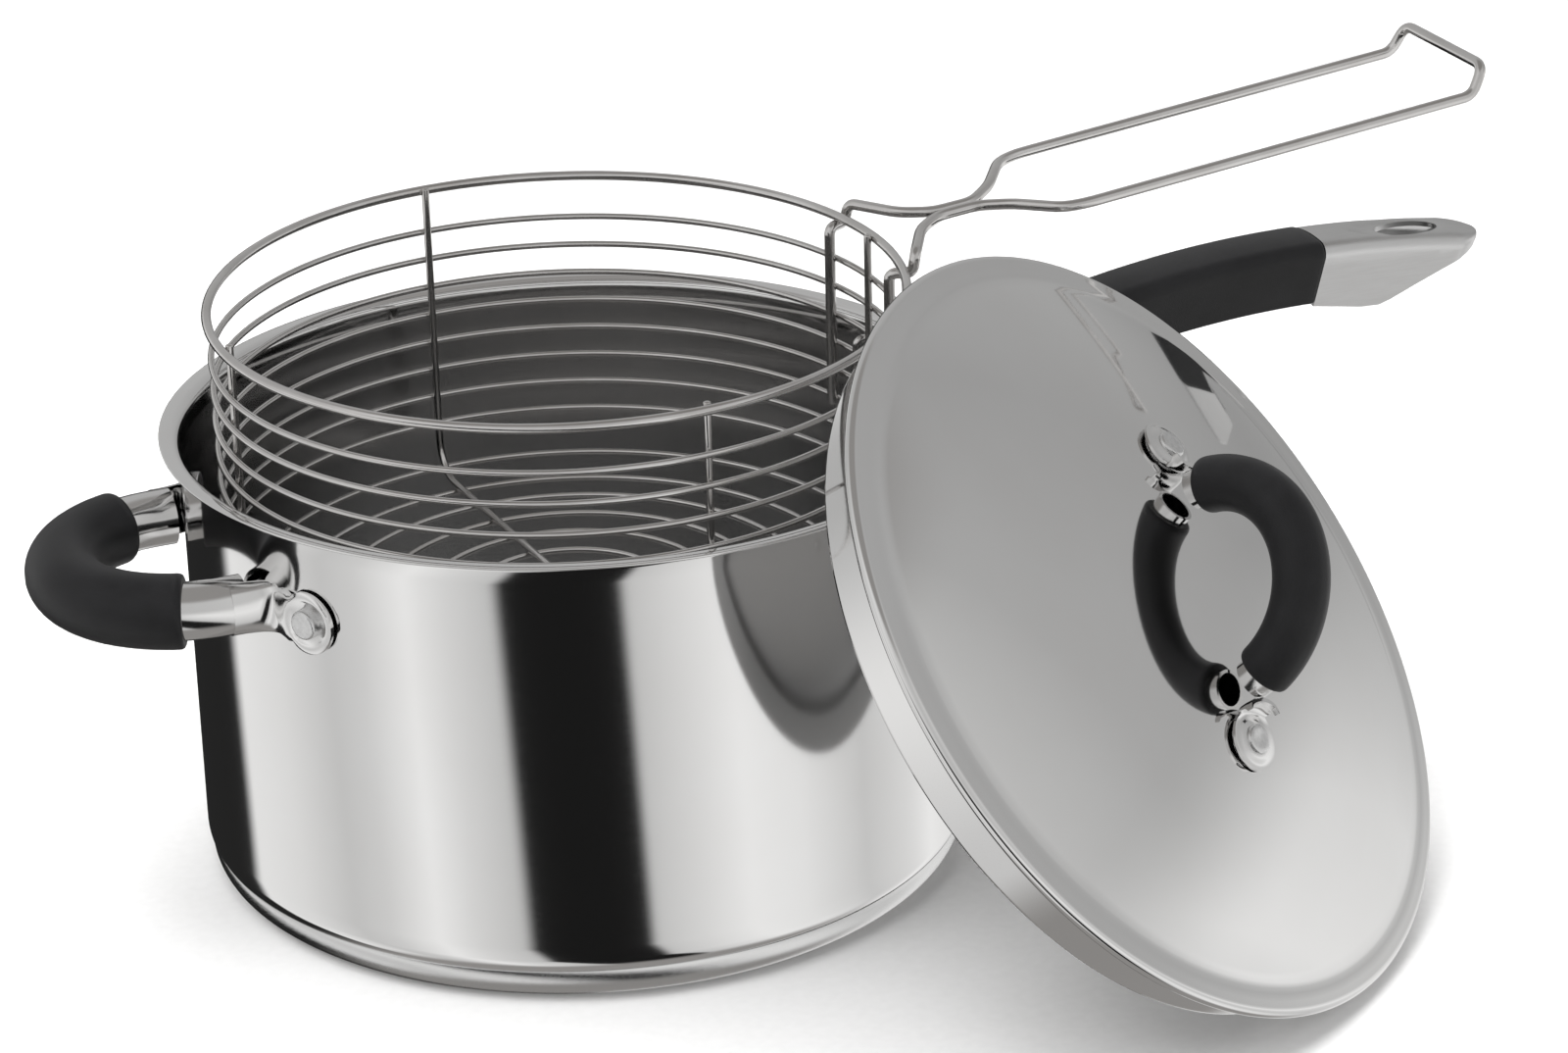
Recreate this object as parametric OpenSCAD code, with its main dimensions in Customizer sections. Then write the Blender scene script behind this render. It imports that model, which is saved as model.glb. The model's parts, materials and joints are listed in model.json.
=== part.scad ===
// Stovetop chip pan: a steel pan with a sandwich base, a looped helper handle and a long
// handle, a wire frying basket hung over the rim at draining height, and a domed lid that
// leans against the pan with its skirt on the table.
// Frame: origin at the centre of the base on the table, +Z up, +X along the long handle.

/* [Pan] */
// Outer radius of the pan's wall
wall_r = 120.8; // [118:0.2:124]
// Thickness of the pan's wall and floor sheet
sheet_t = 0.8; // [0.6:0.1:1.2]
// Height of the rim above the table
rim_z = 143; // [135:1:155]
// How far the pouring lip flares past the wall
lip_flare = 5.8; // [4:0.2:7]
// Radius of the bend from the wall into the pouring lip
lip_bend = 2.8; // [2:0.2:3.6]
// Radius of the bend from the wall into the floor
floor_bend = 7; // [5:0.5:9]
// Height of the floor sheet's underside, on top of the sandwich core
core_top = 8; // [6:0.5:10]
// Thickness of the steel cap under the core
cap_t = 0.8; // [0.6:0.1:1.2]
// Radius of the cap's rounded lower edge
cap_bend = 9; // [7:0.5:10]

/* [Helper handle] */
// Height of both handles' rivets
rivet_z = 115; // [105:1:120]
// Angle from the helper handle's middle to each rivet
helper_spread = 29.5; // [26:0.5:31]
// Radius of the loop, to the tube's centre
helper_loop_r = 37.5; // [34:0.5:40]
// How far the loop reaches from the pan's axis, to the tube's centre
helper_reach = 162; // [156:1:170]
// Outer diameter of the helper handle's folded tube
helper_tube_d = 17.5; // [15:0.5:19]
// Outer diameter of the helper handle's silicone grip
helper_grip_d = 22.5; // [20:0.5:25]

/* [Long handle] */
// Distance from the pan's axis to the handle's tip
handle_tip = 321.5; // [310:0.5:335]
// Distance from the pan's axis to the outer end of the grip
grip_end = 259; // [245:1:262]
// Width of the handle across its flat top
handle_w = 29.4; // [26:0.2:32]
// Height of the handle's section
handle_h = 22; // [19:0.5:25]
// Radius of the handle's gentle arch
handle_arch = 380; // [340:10:450]
// Height of the handle's centre at the crown of its arch
handle_z = 147.5; // [144:0.5:149]
// Thickness of the silicone sleeve
sleeve_t = 3; // [2:0.5:4]

/* [Basket] */
// Height of the top ring's centre
basket_z = 180.6; // [178:0.2:184]
// Radius of the top ring, to the wire's centre
basket_r = 106.4; // [104:0.2:108]
// Depth from the top ring to the floor's ribs
basket_depth = 98; // [90:1:105]
// Diameter of the top ring's wire
top_wire = 3; // [2.6:0.1:3.4]
// Diameter of the side and floor rings' wire
ring_wire = 2; // [1.8:0.1:2.4]
// Diameter of the ribs' wire
rib_wire = 2.4; // [2.2:0.1:2.8]
// Diameter of the handle's wire
handle_wire = 3.5; // [3:0.1:4]
// Number of side rings below the top ring
side_rings = 8; // [6:1:8]
// Number of rings in the floor
floor_rings = 6; // [4:1:6]
// Distance from the basket's axis to the tip of its handle
basket_reach = 311; // [295:1:320]
// Half the width of the basket's handle, to the wire's centre
basket_grip = 25.5; // [22:0.5:29]
// How far the hung basket has slid off the pan's axis, away from its handle
basket_slip = 2.8; // [0:0.2:4]
// Angle by which the hung basket leans
basket_lean = 1.5; // [0:0.1:2]

/* [Lid] */
// Radius of the skirt that drops inside the pan
skirt_r = 115.2; // [113:0.2:117]
// Radius of the rolled edge that rests on the pouring lip
edge_r = 123; // [121:0.2:124]
// Height from the skirt's open end to the rolled edge
edge_h = 17; // [15:0.5:19]
// Height from the skirt's open end to the top of the dome
dome_h = 43.5; // [38:0.5:48]
// Distance from the pan's axis to the middle of the leaning lid's skirt
lid_dist = 177.1; // [176:0.1:186]
// Bearing of the leaning lid's middle around the pan
lid_bearing = -48.5; // [-52:0.1:-45]
// Bearing that the leaning lid faces
lid_facing = -52.2; // [-56:0.1:-49]
// Angle of the lid's axis above the table
lid_rise = 38; // [37:0.1:42]
// Bearing of the lid's handle about the lid's own axis
lid_turn = -31.4; // [-40:0.2:-20]
// Radius of the lid handle's loop, to the tube's centre
lid_loop_r = 31; // [29:0.5:35]
// Distance from the lid's axis to each rivet
lid_rivet_r = 47.4; // [45:0.2:52]
// Outer diameter of the lid handle's folded tube
lid_tube_d = 12.2; // [11:0.2:14]
// Outer diameter of the lid handle's silicone grip
lid_grip_d = 16.8; // [15:0.2:19]

/* [Rivets] */
// Diameter of a rivet's shank
shank_d = 5; // [4:0.2:5.6]
// Diameter of a rivet's head
head_d = 9; // [8:0.2:10]
// Height of a rivet's head
head_h = 2.6; // [2:0.1:3.2]

/* [Hidden] */

eps = 0.05;               // how far cutters run past what they cut
weld = 0.1;               // how far welded wires sink into each other
arc_fn = 96;              // facets of turned parts
small_fn = 32;            // facets of rivets, tubes and wires

floor_z = core_top + sheet_t;
cap_r = wall_r - 1.2;     // outer radius of the cap
lip_r = wall_r + lip_flare;

tab_t = 1.4;              // thickness of a handle's riveted tabs
tab_r = 9.6;              // radius of a handle's round tabs
tube_t = 1;               // sheet thickness of the folded tubes
seam_w = 1.2;             // open seam of the folded tubes
inner_head_d = 8;         // flat heads inside the pan and the lid
inner_head_h = 1;
seat = 0.07;              // gap under the flat inner heads where they meet a curved sheet

arch_x = grip_end - 9;    // crown of the long handle's arch
body_start = 133;         // where the long handle's body starts, past the lip
grip_start = 150;
core_w = handle_w - 2 * sleeve_t;
core_h = handle_h - 2 * sleeve_t;
handle_sheet = 1.5;       // sheet thickness of the handle's channel
side_slope = 0.35;        // how fast the handle's sides close in towards its underside
top_crown = 0.04;         // rise of the handle's top face over its width

rib_r = basket_r - (top_wire + rib_wire) / 2 + weld;
side_r = rib_r + (rib_wire + ring_wire) / 2 - weld;
first_gap = 14;           // from the top ring to the first side ring
ring_pitch = 9.65;        // between the side rings
corner_bend = 12;         // the ribs' bend from the wall into the floor
floor_rib_z = basket_z - basket_depth;
leg_r = side_r - (ring_wire + handle_wire) / 2 + weld;
leg_angle = 12.6;         // bearing of each leg of the basket's handle
rib_bearing = [0, 93.5, 180, 273.5];

flange_drop = 3.4;        // from the rolled edge down to its flat underside
groove_r = edge_r - 9.5;  // groove between the rolled edge and the dome
groove_h = edge_h + 3.2;

// ---------- outlines ----------

// Points of an arc about c, from angle a to angle b
function arc(c, r, a, b, n = 12) =
    [for (i = [0:n]) let (t = a + (b - a) * i / n) c + r * [cos(t), sin(t)]];

function unit(v) = v / norm(v);
function normal(a, b) = let (d = unit(b - a)) [-d.y, d.x];

// The same path moved t to its left, mitred at its corners
function beside(path, t) = let (n = len(path)) [for (i = [0:n - 1])
    let (u = normal(path[max(i - 1, 0)], path[max(i, 1)]),
         v = normal(path[min(i, n - 2)], path[min(i + 1, n - 1)]),
         m = unit(u + v))
    path[i] + m * t / (m * u)];

function reversed(path) = [for (i = [len(path) - 1:-1:0]) path[i]];

// A sheet of thickness t to the left of a path
module sheet_outline(path, t) polygon(concat(path,
    reversed([for (p = beside(path, t)) [max(p.x, 0), p.y]])));

// A convex outline with round corners, from [x, y, radius] going counter-clockwise
function rounded(c, n = 6) = let (k = len(c)) [for (i = [0:k - 1])
    let (p = [c[i].x, c[i].y],
         u = unit([c[(i + k - 1) % k].x, c[(i + k - 1) % k].y] - p),
         v = unit([c[(i + 1) % k].x, c[(i + 1) % k].y] - p),
         half = acos(u * v) / 2,
         centre = p + unit(u + v) * c[i][2] / sin(half),
         first = p + u * c[i][2] / tan(half) - centre)
    each arc(centre, c[i][2], atan2(first.y, first.x), atan2(first.y, first.x) + 180 - 2 * half, n)];

// ---------- shared pieces ----------

module turned() rotate_extrude($fn = arc_fn) children();

// A wire ring of radius r at height z
module ring(r, z, d) translate([0, 0, z]) rotate_extrude($fn = arc_fn)
    translate([r, 0]) circle(d = d, $fn = 16);

// A rivet along +Z: its outer head stands on z = 0 and its inner head starts at -grip
module rivet(grip) {
    cylinder(h = head_h - 0.8, d = head_d, $fn = small_fn);
    translate([0, 0, head_h - 0.8]) cylinder(h = 0.8, d1 = head_d, d2 = head_d - 1.8, $fn = small_fn);
    translate([0, 0, -grip - seat - eps])
        cylinder(h = grip + seat + 2 * eps, d = shank_d, $fn = small_fn);
    translate([0, 0, -grip - seat - inner_head_h])
        cylinder(h = inner_head_h, d = inner_head_d, $fn = small_fn);
}

// Puts +Z outward through the wall at a bearing, at height z and radius r
module on_wall(bearing, z, r) rotate([0, 0, bearing]) translate([r, 0, z]) rotate([0, 90, 0]) children();

// Section of a folded tube: a ring that is open along a seam on its side facing the loop's middle
module folded_section(d) difference() {
    circle(d = d, $fn = small_fn);
    circle(d = d - 2 * tube_t, $fn = small_fn);
    translate([-d, -seam_w / 2]) square([d, seam_w]);
}

module sleeve_section(outer, inner) difference() {
    circle(d = outer, $fn = small_fn);
    circle(d = inner, $fn = small_fn);
}

// ---------- pan ----------

function lip_arc(r) = arc([wall_r + lip_bend, rim_z - lip_bend - sheet_t], r, 180, 96);

module pan_shell() color("silver") difference() {
    turned() polygon(concat(
        [[0, core_top]],
        arc([bend_x, core_top + floor_bend], floor_bend, -90, 0),
        lip_arc(lip_bend),
        [[lip_r - 0.3, rim_z - sheet_t], [lip_r, rim_z - sheet_t / 2], [lip_r - 0.3, rim_z]],
        reversed(lip_arc(lip_bend + sheet_t)),
        arc([bend_x, core_top + floor_bend], floor_bend - sheet_t, 0, -90),
        [[0, floor_z]]));
    for (b = [180 - helper_spread, 180 + helper_spread, -bracket_spread, bracket_spread])
        on_wall(b, rivet_z, wall_r - 2) cylinder(h = 4, d = shank_d, $fn = small_fn);
}

// The floor bend's outer side: its angle and its height at radius x
bend_x = wall_r - floor_bend;
function bend_angle(x) = -acos((x - bend_x) / floor_bend);
function bend_z(x) = core_top + floor_bend * (1 + sin(bend_angle(x)));

// The cap's skin at radius r of its edge's bend, ending where it meets the pan's floor bend
function cap_outline(r) = let (x = cap_r - cap_bend + r) concat([[0, cap_bend - r]],
    arc([cap_r - cap_bend, cap_bend], r, -90, 0), [[x, bend_z(x)]]);

module base_cap() color("gainsboro") turned()
    polygon(concat(cap_outline(cap_bend), reversed(cap_outline(cap_bend - cap_t))));

// The aluminium disc fills the cap up to the pan's floor and its bend
module base_core() color("lightgray") turned() polygon(concat(
    cap_outline(cap_bend - cap_t),
    reversed(arc([bend_x, core_top + floor_bend], floor_bend, -90, bend_angle(cap_r - cap_t))),
    [[0, core_top]]));

// ---------- helper handle ----------

helper_x = helper_reach - helper_loop_r;
helper_cut = 119;         // where the legs are cut off, short of the wall
helper_sleeve = 72;       // half the angle covered by the grip
tube_side = helper_loop_r + helper_tube_d / 2;
tongue_w = 13;            // width of the tongue left on each leg
tongue_bend = 5;          // radius of the tongue's bend onto the wall
tongue_y = tube_side + tongue_bend;
tongue_x = sqrt(pow(wall_r + tab_t + tongue_bend, 2) - tongue_y * tongue_y);
tongue_bearing = atan2(tongue_y, tongue_x);
helper_tongue_y = wall_r * sin(helper_spread);

module helper_place() rotate([0, 0, 180]) translate([0, 0, rivet_z]) children();

module helper_loop(half) translate([helper_x, 0, 0]) rotate_extrude(angle = 2 * half, start = -half,
    $fn = arc_fn) translate([helper_loop_r, 0]) children();

// Plan path of the tongue's outer side: along the leg, bent outwards and laid on the wall
tongue_path = concat(
    [[helper_cut + 3, tube_side]],
    arc([tongue_x, tongue_y], tongue_bend, 270, 180 + tongue_bearing, 8),
    [for (i = [1:10]) let (b = tongue_bearing + (2 * helper_spread - 2 * tongue_bearing + 0.6) * i / 10)
        (wall_r + tab_t + 0.02) * [cos(b), sin(b)]]);

// The outer side of a leg carried on as a strip and widened to a round tab
module helper_tongue() intersection() {
    translate([0, 0, -tab_r - 1]) linear_extrude(2 * tab_r + 2) sheet_outline(tongue_path, tab_t);
    union() {
        rotate([0, 0, helper_spread]) translate([wall_r - 5, 0, 0]) rotate([0, 90, 0])
            cylinder(h = 12, r = tab_r, $fn = small_fn);
        translate([helper_cut - 40, 0, -tongue_w / 2]) cube([60, helper_tongue_y, tongue_w]);
    }
}

module helper_tube() color("gainsboro") helper_place() difference() {
    union() {
        helper_loop(90) folded_section(helper_tube_d);
        for (s = [0, 1]) mirror([0, s, 0]) {
            translate([helper_cut, helper_loop_r, 0]) rotate([0, 90, 0]) rotate([0, 0, 90])
                linear_extrude(helper_x - helper_cut + eps) folded_section(helper_tube_d);
            helper_tongue();
        }
    }
    for (b = [-helper_spread, helper_spread])
        on_wall(b, 0, wall_r - 3) cylinder(h = 12, d = shank_d, $fn = small_fn);
}

module helper_grip() color([0.1, 0.1, 0.1]) helper_place()
    helper_loop(helper_sleeve) sleeve_section(helper_grip_d, helper_tube_d);

module helper_rivets() color("lightgray") for (b = [180 - helper_spread, 180 + helper_spread])
    on_wall(b, rivet_z, wall_r + tab_t) rivet(sheet_t + tab_t);

// ---------- long handle ----------

bracket_spread = 5;       // bearing of the two bracket rivets
plate_t = 2.2;

// Bearing along the handle's arch at distance x from the pan's axis
function arch_angle(x) = asin((x - arch_x) / handle_arch);

// Sweeps a section, drawn as [up, across], along the handle's arch from x0 to x1
module handle_sweep(x0, x1) translate([arch_x, 0, handle_z - handle_arch]) rotate([90, 0, 0])
    rotate_extrude(angle = arch_angle(x1) - arch_angle(x0), start = 90 - arch_angle(x1), $fn = 720)
    translate([handle_arch, 0]) children();

// Rounded-triangle section: w across the slightly domed top, h high at its edges, narrow below.
// The underside is dropped further by drop, with corners of radius low_r
module handle_section(w, h, drop = 0, low_r = 3.5) let (low = w / 2 - side_slope * (h + drop))
    polygon(rounded([[h / 2, w / 2, 4], [-h / 2 - drop, low, low_r], [-h / 2 - drop, -low, low_r],
        [h / 2, -w / 2, 4], [h / 2 + top_crown * w, 0, 20]]));

// The same section as a channel of even thickness, open below
inset = 2 * handle_sheet * (side_slope + sqrt(1 + side_slope * side_slope));
module channel_section(w, h, drop = 0) difference() {
    handle_section(w, h, drop);
    translate([-handle_sheet, 0]) handle_section(w - inset, h, drop + 4, 0.5);
}

end_w = handle_w - 0.8;   // the steel end's section, a little inside the grip's
end_h = handle_h - 0.6;
end_drop = 5;             // how far its sides reach below the grip's underside
shoulder = 3;             // length left solid against the grip's end
end_wall = 13;            // length left solid behind the tip

// Side outline of the steel end: it falls away underneath, then is cut up to the tip
module end_side_outline() translate([handle_tip, handle_z]) polygon([
    [-100, -12.5], [-62, -12.5], [-42, -16.2], [-34, -16.4], [-31, -15],
    [-1.5, 1.2], [0, 2.4], [0, 30], [-100, 30]]);

// Plan outline of the steel end: straight sides and a half-round tip
module end_plan_outline() translate([handle_tip, 0]) polygon(concat(
    [[-100, -handle_w / 2]], arc([-handle_w / 2, 0], handle_w / 2, -90, 90, 24), [[-100, handle_w / 2]]));

hole_middle = handle_tip - 26;
hole_half = [11.5, 6.5];  // half the length and half the width of the oval hanging hole

module hanging_hole() translate([hole_middle, 0, handle_z - 40]) linear_extrude(80)
    polygon([for (a = [0:15:345]) [hole_half.x * cos(a), hole_half.y * sin(a)]]);

module handle_body() color("silver") difference() {
    union() {
        handle_sweep(body_start, grip_end + 1) channel_section(core_w, core_h);
        intersection() {
            union() {
                handle_sweep(grip_end, grip_end + shoulder) handle_section(end_w, end_h, end_drop);
                handle_sweep(grip_end, handle_tip - end_wall) channel_section(end_w, end_h, end_drop);
                handle_sweep(handle_tip - end_wall, handle_tip + 3) handle_section(end_w, end_h, end_drop);
            }
            rotate([90, 0, 0]) linear_extrude(80, center = true) end_side_outline();
            translate([0, 0, handle_z - 80]) linear_extrude(160) end_plan_outline();
        }
    }
    hanging_hole();
    handle_screw_axis() cylinder(d = shank_d, h = 20, center = true, $fn = small_fn);
}

module handle_grip() color([0.1, 0.1, 0.1]) handle_sweep(grip_start, grip_end) difference() {
    handle_section(handle_w, handle_h);
    handle_section(core_w, core_h);
}

stub_w = 9;
stub_h = 7;
stub_top = core_h / 2 - handle_sheet + 0.4; // meets the channel's slightly domed roof
screw_x = 143;

// Puts the origin on the handle's centre line at the screw, +Z across the arch
module handle_screw_axis() translate([arch_x, 0, handle_z - handle_arch])
    rotate([0, arch_angle(screw_x), 0]) translate([0, 0, handle_arch + stub_top]) children();

module handle_bracket() color("silver") difference() {
    union() {
        intersection() {
            difference() {
                cylinder(r = wall_r + plate_t, h = rim_z - 5, $fn = arc_fn);
                cylinder(r = wall_r, h = rim_z, $fn = arc_fn);
            }
            translate([wall_r - 20, -18, rivet_z - 10]) cube([40, 36, 33]);
        }
        intersection() {
            handle_sweep(wall_r - 4, 160) translate([stub_top - stub_h, -stub_w / 2])
                square([stub_h, stub_w]);
            difference() {
                translate([wall_r - 10, -20, 80]) cube([60, 40, 80]);
                cylinder(r = wall_r, h = 200, $fn = arc_fn);
            }
        }
    }
    for (b = [-bracket_spread, bracket_spread])
        on_wall(b, rivet_z, wall_r - 2) cylinder(h = 8, d = shank_d, $fn = small_fn);
    handle_screw_axis() cylinder(d = shank_d, h = 40, center = true, $fn = small_fn);
}

module bracket_rivets() color("lightgray") for (b = [-bracket_spread, bracket_spread])
    on_wall(b, rivet_z, wall_r + plate_t) rivet(sheet_t + plate_t);

// A pan-head screw from below, through the bracket's stub into the handle's top sheet
module handle_screw() color("dimgray") handle_screw_axis() {
    translate([0, 0, -stub_h - 2.4]) cylinder(h = 2.4, d = 8.4, $fn = small_fn);
    translate([0, 0, -stub_h - eps]) cylinder(h = stub_h + handle_sheet - 0.2, d = shank_d, $fn = small_fn);
}

// ---------- basket ----------

function side_ring_z(i) = basket_z - first_gap - ring_pitch * (i - 1);
function floor_ring_r(i) = 17 + 14.5 * (i - 1);
floor_ring_z = floor_rib_z - (rib_wire + ring_wire) / 2 + weld;

// The hung basket rests on its hook, a little off the pan's axis and leaning
lean_bearing = -20;       // bearing of the line it leans about
lean_z = 157;

module basket_place() translate([-basket_slip, basket_slip * 0.35, lean_z])
    rotate(a = basket_lean, v = [cos(lean_bearing), sin(lean_bearing), 0])
    translate([0, 0, -lean_z]) children();

module basket_top_ring() color("silver") basket_place() ring(basket_r, basket_z, top_wire);

module basket_side_ring(i) color("silver") basket_place() ring(side_r, side_ring_z(i), ring_wire);

// Welded outside the middle of the ribs' bend
module basket_corner_ring() color("silver") basket_place()
    let (reach = (corner_bend + (rib_wire + ring_wire) / 2 - weld) * cos(45))
    ring(rib_r - corner_bend + reach, floor_rib_z + corner_bend - reach, ring_wire);

module basket_floor_ring(i) color("silver") basket_place() ring(floor_ring_r(i), floor_ring_z, ring_wire);

// A J-shaped rib: down inside the side rings, round the bend and in towards the middle
module basket_rib(i) color("silver") basket_place() rotate([0, 0, rib_bearing[i - 1]]) {
    translate([rib_r, 0, floor_rib_z + corner_bend])
        cylinder(d = rib_wire, h = basket_depth - corner_bend + 1.2, $fn = 16);
    translate([rib_r - corner_bend, 0, floor_rib_z + corner_bend]) rotate([90, 0, 0])
        rotate_extrude(angle = 90, start = -90, $fn = 48) translate([corner_bend, 0])
        circle(d = rib_wire, $fn = 16);
    translate([floor_ring_r(1) - 3, 0, floor_rib_z]) rotate([0, 90, 0])
        cylinder(d = rib_wire, h = rib_r - corner_bend - floor_ring_r(1) + 3, $fn = 16);
}

// Rounds the corners of a path; each point is [x, y, z, how far the bend reaches]
function eased(p, n = 5) = let (k = len(p)) concat(
    [xyz(p[0])],
    [for (i = [1:k - 2]) let (v = xyz(p[i]), a = v + unit(xyz(p[i - 1]) - v) * p[i][3],
        b = v + unit(xyz(p[i + 1]) - v) * p[i][3])
        each [for (j = [0:n]) let (t = j / n) (1 - t) * (1 - t) * a + 2 * t * (1 - t) * v + t * t * b]],
    [xyz(p[k - 1])]);
function xyz(p) = [p[0], p[1], p[2]];

// Directions of a path, and a side vector carried along it without twist
function along(p) = let (k = len(p)) [for (i = [0:k - 1]) unit(p[min(i + 1, k - 1)] - p[max(i - 1, 0)])];
function level(v, d) = unit(v - (v * d) * d);
function sides(d) = [for (i = 0, s = level([0, 1, 0.1], d[0]); i < len(d);
    i = i + 1, s = i < len(d) ? level(s, d[i]) : s) s];

// A round wire along a path
module wire(path, d, n = 12) {
    k = len(path);
    dir = along(path);
    side = sides(dir);
    polyhedron(
        points = [for (i = [0:k - 1]) for (j = [0:n - 1])
            path[i] + d / 2 * (cos(360 * j / n) * side[i] + sin(360 * j / n) * cross(dir[i], side[i]))],
        faces = concat(
            [[for (j = [0:n - 1]) j]],
            [for (i = [0:k - 2]) for (j = [0:n - 1]) let (a = i * n + j, b = i * n + (j + 1) % n)
                each [[a, a + n, b], [b, a + n, b + n]]],
            [[for (j = [n - 1:-1:0]) (k - 1) * n + j]]));
}

function mirrored(half) = [for (i = [len(half) - 1:-1:0]) [half[i][0], -half[i][1], half[i][2], half[i][3]]];

// Half of the basket's handle, from its leg on the basket's wall to its tip: up inside the
// rings, out under the top ring and up behind it, pinched, then splayed into the grip
leg_x = leg_r * cos(leg_angle);
leg_y = leg_r * sin(leg_angle);
leg_z = 118;              // lower end of the leg
under_z = basket_z - (top_wire + handle_wire) / 2 + weld; // welded under the top ring
over_z = basket_z + 3;    // where it turns inwards behind the ring
pinch_z = basket_z + 5;
grip_x = 168;             // where the splayed wires start to run straight
grip_slope = 0.1;         // rise of the grip's wires over their run
function grip_z(x) = pinch_z + 5 + grip_slope * (x - grip_x);
tip_rise = 8.5;           // height of the upturned tip
tip_run = 4.5;
half_handle = [
    [leg_x, leg_y, leg_z, 0],
    [leg_x, leg_y, under_z, 2.6],
    [107.4, 25.6, under_z, 2.6],
    [108.6, 25.2, over_z, 3],
    [118.5, 8, pinch_z - 1.2, 5],
    [127.5, 2, pinch_z - 0.4, 3.5],
    [141, 1.9, pinch_z + 0.8, 3.5],
    [150, 9, pinch_z + 2.2, 4],
    [grip_x - 7.5, basket_grip - 2, pinch_z + 4, 4],
    [grip_x, basket_grip, grip_z(grip_x), 3],
    [basket_reach - tip_run, basket_grip, grip_z(basket_reach - tip_run), 3.4],
    [basket_reach, basket_grip - 1.5, grip_z(basket_reach) + tip_rise, 4.4]];

module basket_handle() color("silver") basket_place()
    wire(eased(concat(half_handle, mirrored(half_handle))), handle_wire);

// A bent wire welded inside the rings that rests on the rim and holds the basket up to drain
hook_wire = 2.5;
hook_drop = 0.9;          // the lean lifts the hook by about this much
hook_z = rim_z + 0.35 + hook_wire / 2 - hook_drop;
hook_y = 9;
hook_x = sqrt(pow(side_r - (ring_wire + hook_wire) / 2 + weld, 2) - hook_y * hook_y);
half_hook = [
    [hook_x, hook_y, hook_z - 26, 0],
    [hook_x, hook_y, hook_z, 2.4],
    [lip_r + 5, hook_y, hook_z, 2.4]];

module basket_rest_hook() color("silver") basket_place()
    wire(eased(concat(half_hook, mirrored(half_hook))), hook_wire);

// ---------- lid ----------

// Puts the lid's own frame, with its skirt's open end at z = 0 and +Z out of its dome,
// where the lid leans with the skirt's lowest point on the table
module lid_place() rotate([0, 0, lid_bearing]) translate([lid_dist, 0, skirt_r * cos(lid_rise)])
    rotate([0, 0, lid_facing - lid_bearing]) rotate([0, 90 - lid_rise, 0]) children();

dome_rise = dome_h - groove_h;
dome_r = (groove_r * groove_r + dome_rise * dome_rise) / (2 * dome_rise);
dome_half = asin(groove_r / dome_r);
function dome_at(r) = dome_h - dome_r + sqrt(dome_r * dome_r - r * r);

// Outside of the lid from the skirt's open end up over the rolled edge to the top of the dome
lid_path = concat(
    [[skirt_r, 0], [skirt_r, edge_h - flange_drop]],
    [[edge_r - 1, edge_h - flange_drop + 0.4]],
    arc([edge_r - 2.2, edge_h + 1.4], 2.2, -50, 90, 8),
    [[edge_r - 5.5, groove_h + 0.3], [groove_r + 1.5, groove_h - 0.2]],
    arc([0, dome_h - dome_r], dome_r, 90 - dome_half, 90, 24));

module lid_shell() color("silver") lid_place() difference() {
    turned() sheet_outline(lid_path, sheet_t);
    rotate([0, 0, lid_turn]) lid_rivet_axes() cylinder(h = 20, d = shank_d, center = true, $fn = small_fn);
}

// Puts +Z square to the dome at each of the handle's rivets, with the origin on the dome
module lid_rivet_axes() for (s = [-1, 1]) translate([0, 0, dome_h - dome_r])
    rotate([0, s * asin(lid_rivet_r / dome_r), 0]) translate([0, 0, dome_r]) children();

lid_tube_low = 5;         // angle above the dome's top level at which the tube is cut off
lid_sleeve_low = 13;      // angle at which the grip ends
lid_tab_r = 9;
lid_tongue_w = 11;
lid_bend = 4;             // radius of the tongue's bend onto the dome
lid_side = lid_loop_r + lid_tube_d / 2;
lid_turn_x = lid_side + lid_bend;
lid_slope = 10;           // how far the dome falls away from level under the tabs
lid_land = lid_turn_x - (lid_bend + tab_t) * sin(lid_slope);
lid_turn_z = dome_at(lid_land) + (lid_bend + tab_t) * cos(lid_slope);

module lid_loop(low) translate([0, 0, dome_h]) rotate([90, 0, 0])
    rotate_extrude(angle = 180 - 2 * low, start = low, $fn = arc_fn) translate([lid_loop_r, 0]) children();

// Space under a skin t above the dome
module dome_skin(t) turned() polygon(concat([[0, groove_h]],
    arc([0, dome_h - dome_r], dome_r + t, 90 - dome_half, 90, 60)));

// The outer side of a leg carried on, bent outwards and riveted down on the dome
module lid_tongue() {
    translate([lid_side - tab_t, -lid_tongue_w / 2, lid_turn_z])
        cube([tab_t, lid_tongue_w, dome_h + 4.5 - lid_turn_z]);
    translate([lid_turn_x, 0, lid_turn_z]) rotate([90, 0, 0])
        rotate_extrude(start = 180, angle = 90 - lid_slope, $fn = arc_fn)
        translate([lid_bend, -lid_tongue_w / 2]) square([tab_t, lid_tongue_w]);
    intersection() {
        difference() {
            dome_skin(tab_t);
            dome_skin(0);
        }
        union() {
            translate([lid_rivet_r, 0, 0]) cylinder(r = lid_tab_r, h = 80, $fn = small_fn);
            translate([lid_land - 0.2, -lid_tongue_w / 2, 0])
                cube([lid_rivet_r - lid_land, lid_tongue_w, 80]);
        }
    }
}

module lid_tube() color("gainsboro") lid_place() rotate([0, 0, lid_turn]) difference() {
    union() {
        lid_loop(lid_tube_low) folded_section(lid_tube_d);
        for (s = [0, 1]) mirror([s, 0, 0]) lid_tongue();
    }
    lid_rivet_axes() cylinder(h = 12, d = shank_d, center = true, $fn = small_fn);
}

module lid_grip() color([0.1, 0.1, 0.1]) lid_place() rotate([0, 0, lid_turn])
    lid_loop(lid_sleeve_low) sleeve_section(lid_grip_d, lid_tube_d);

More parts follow.
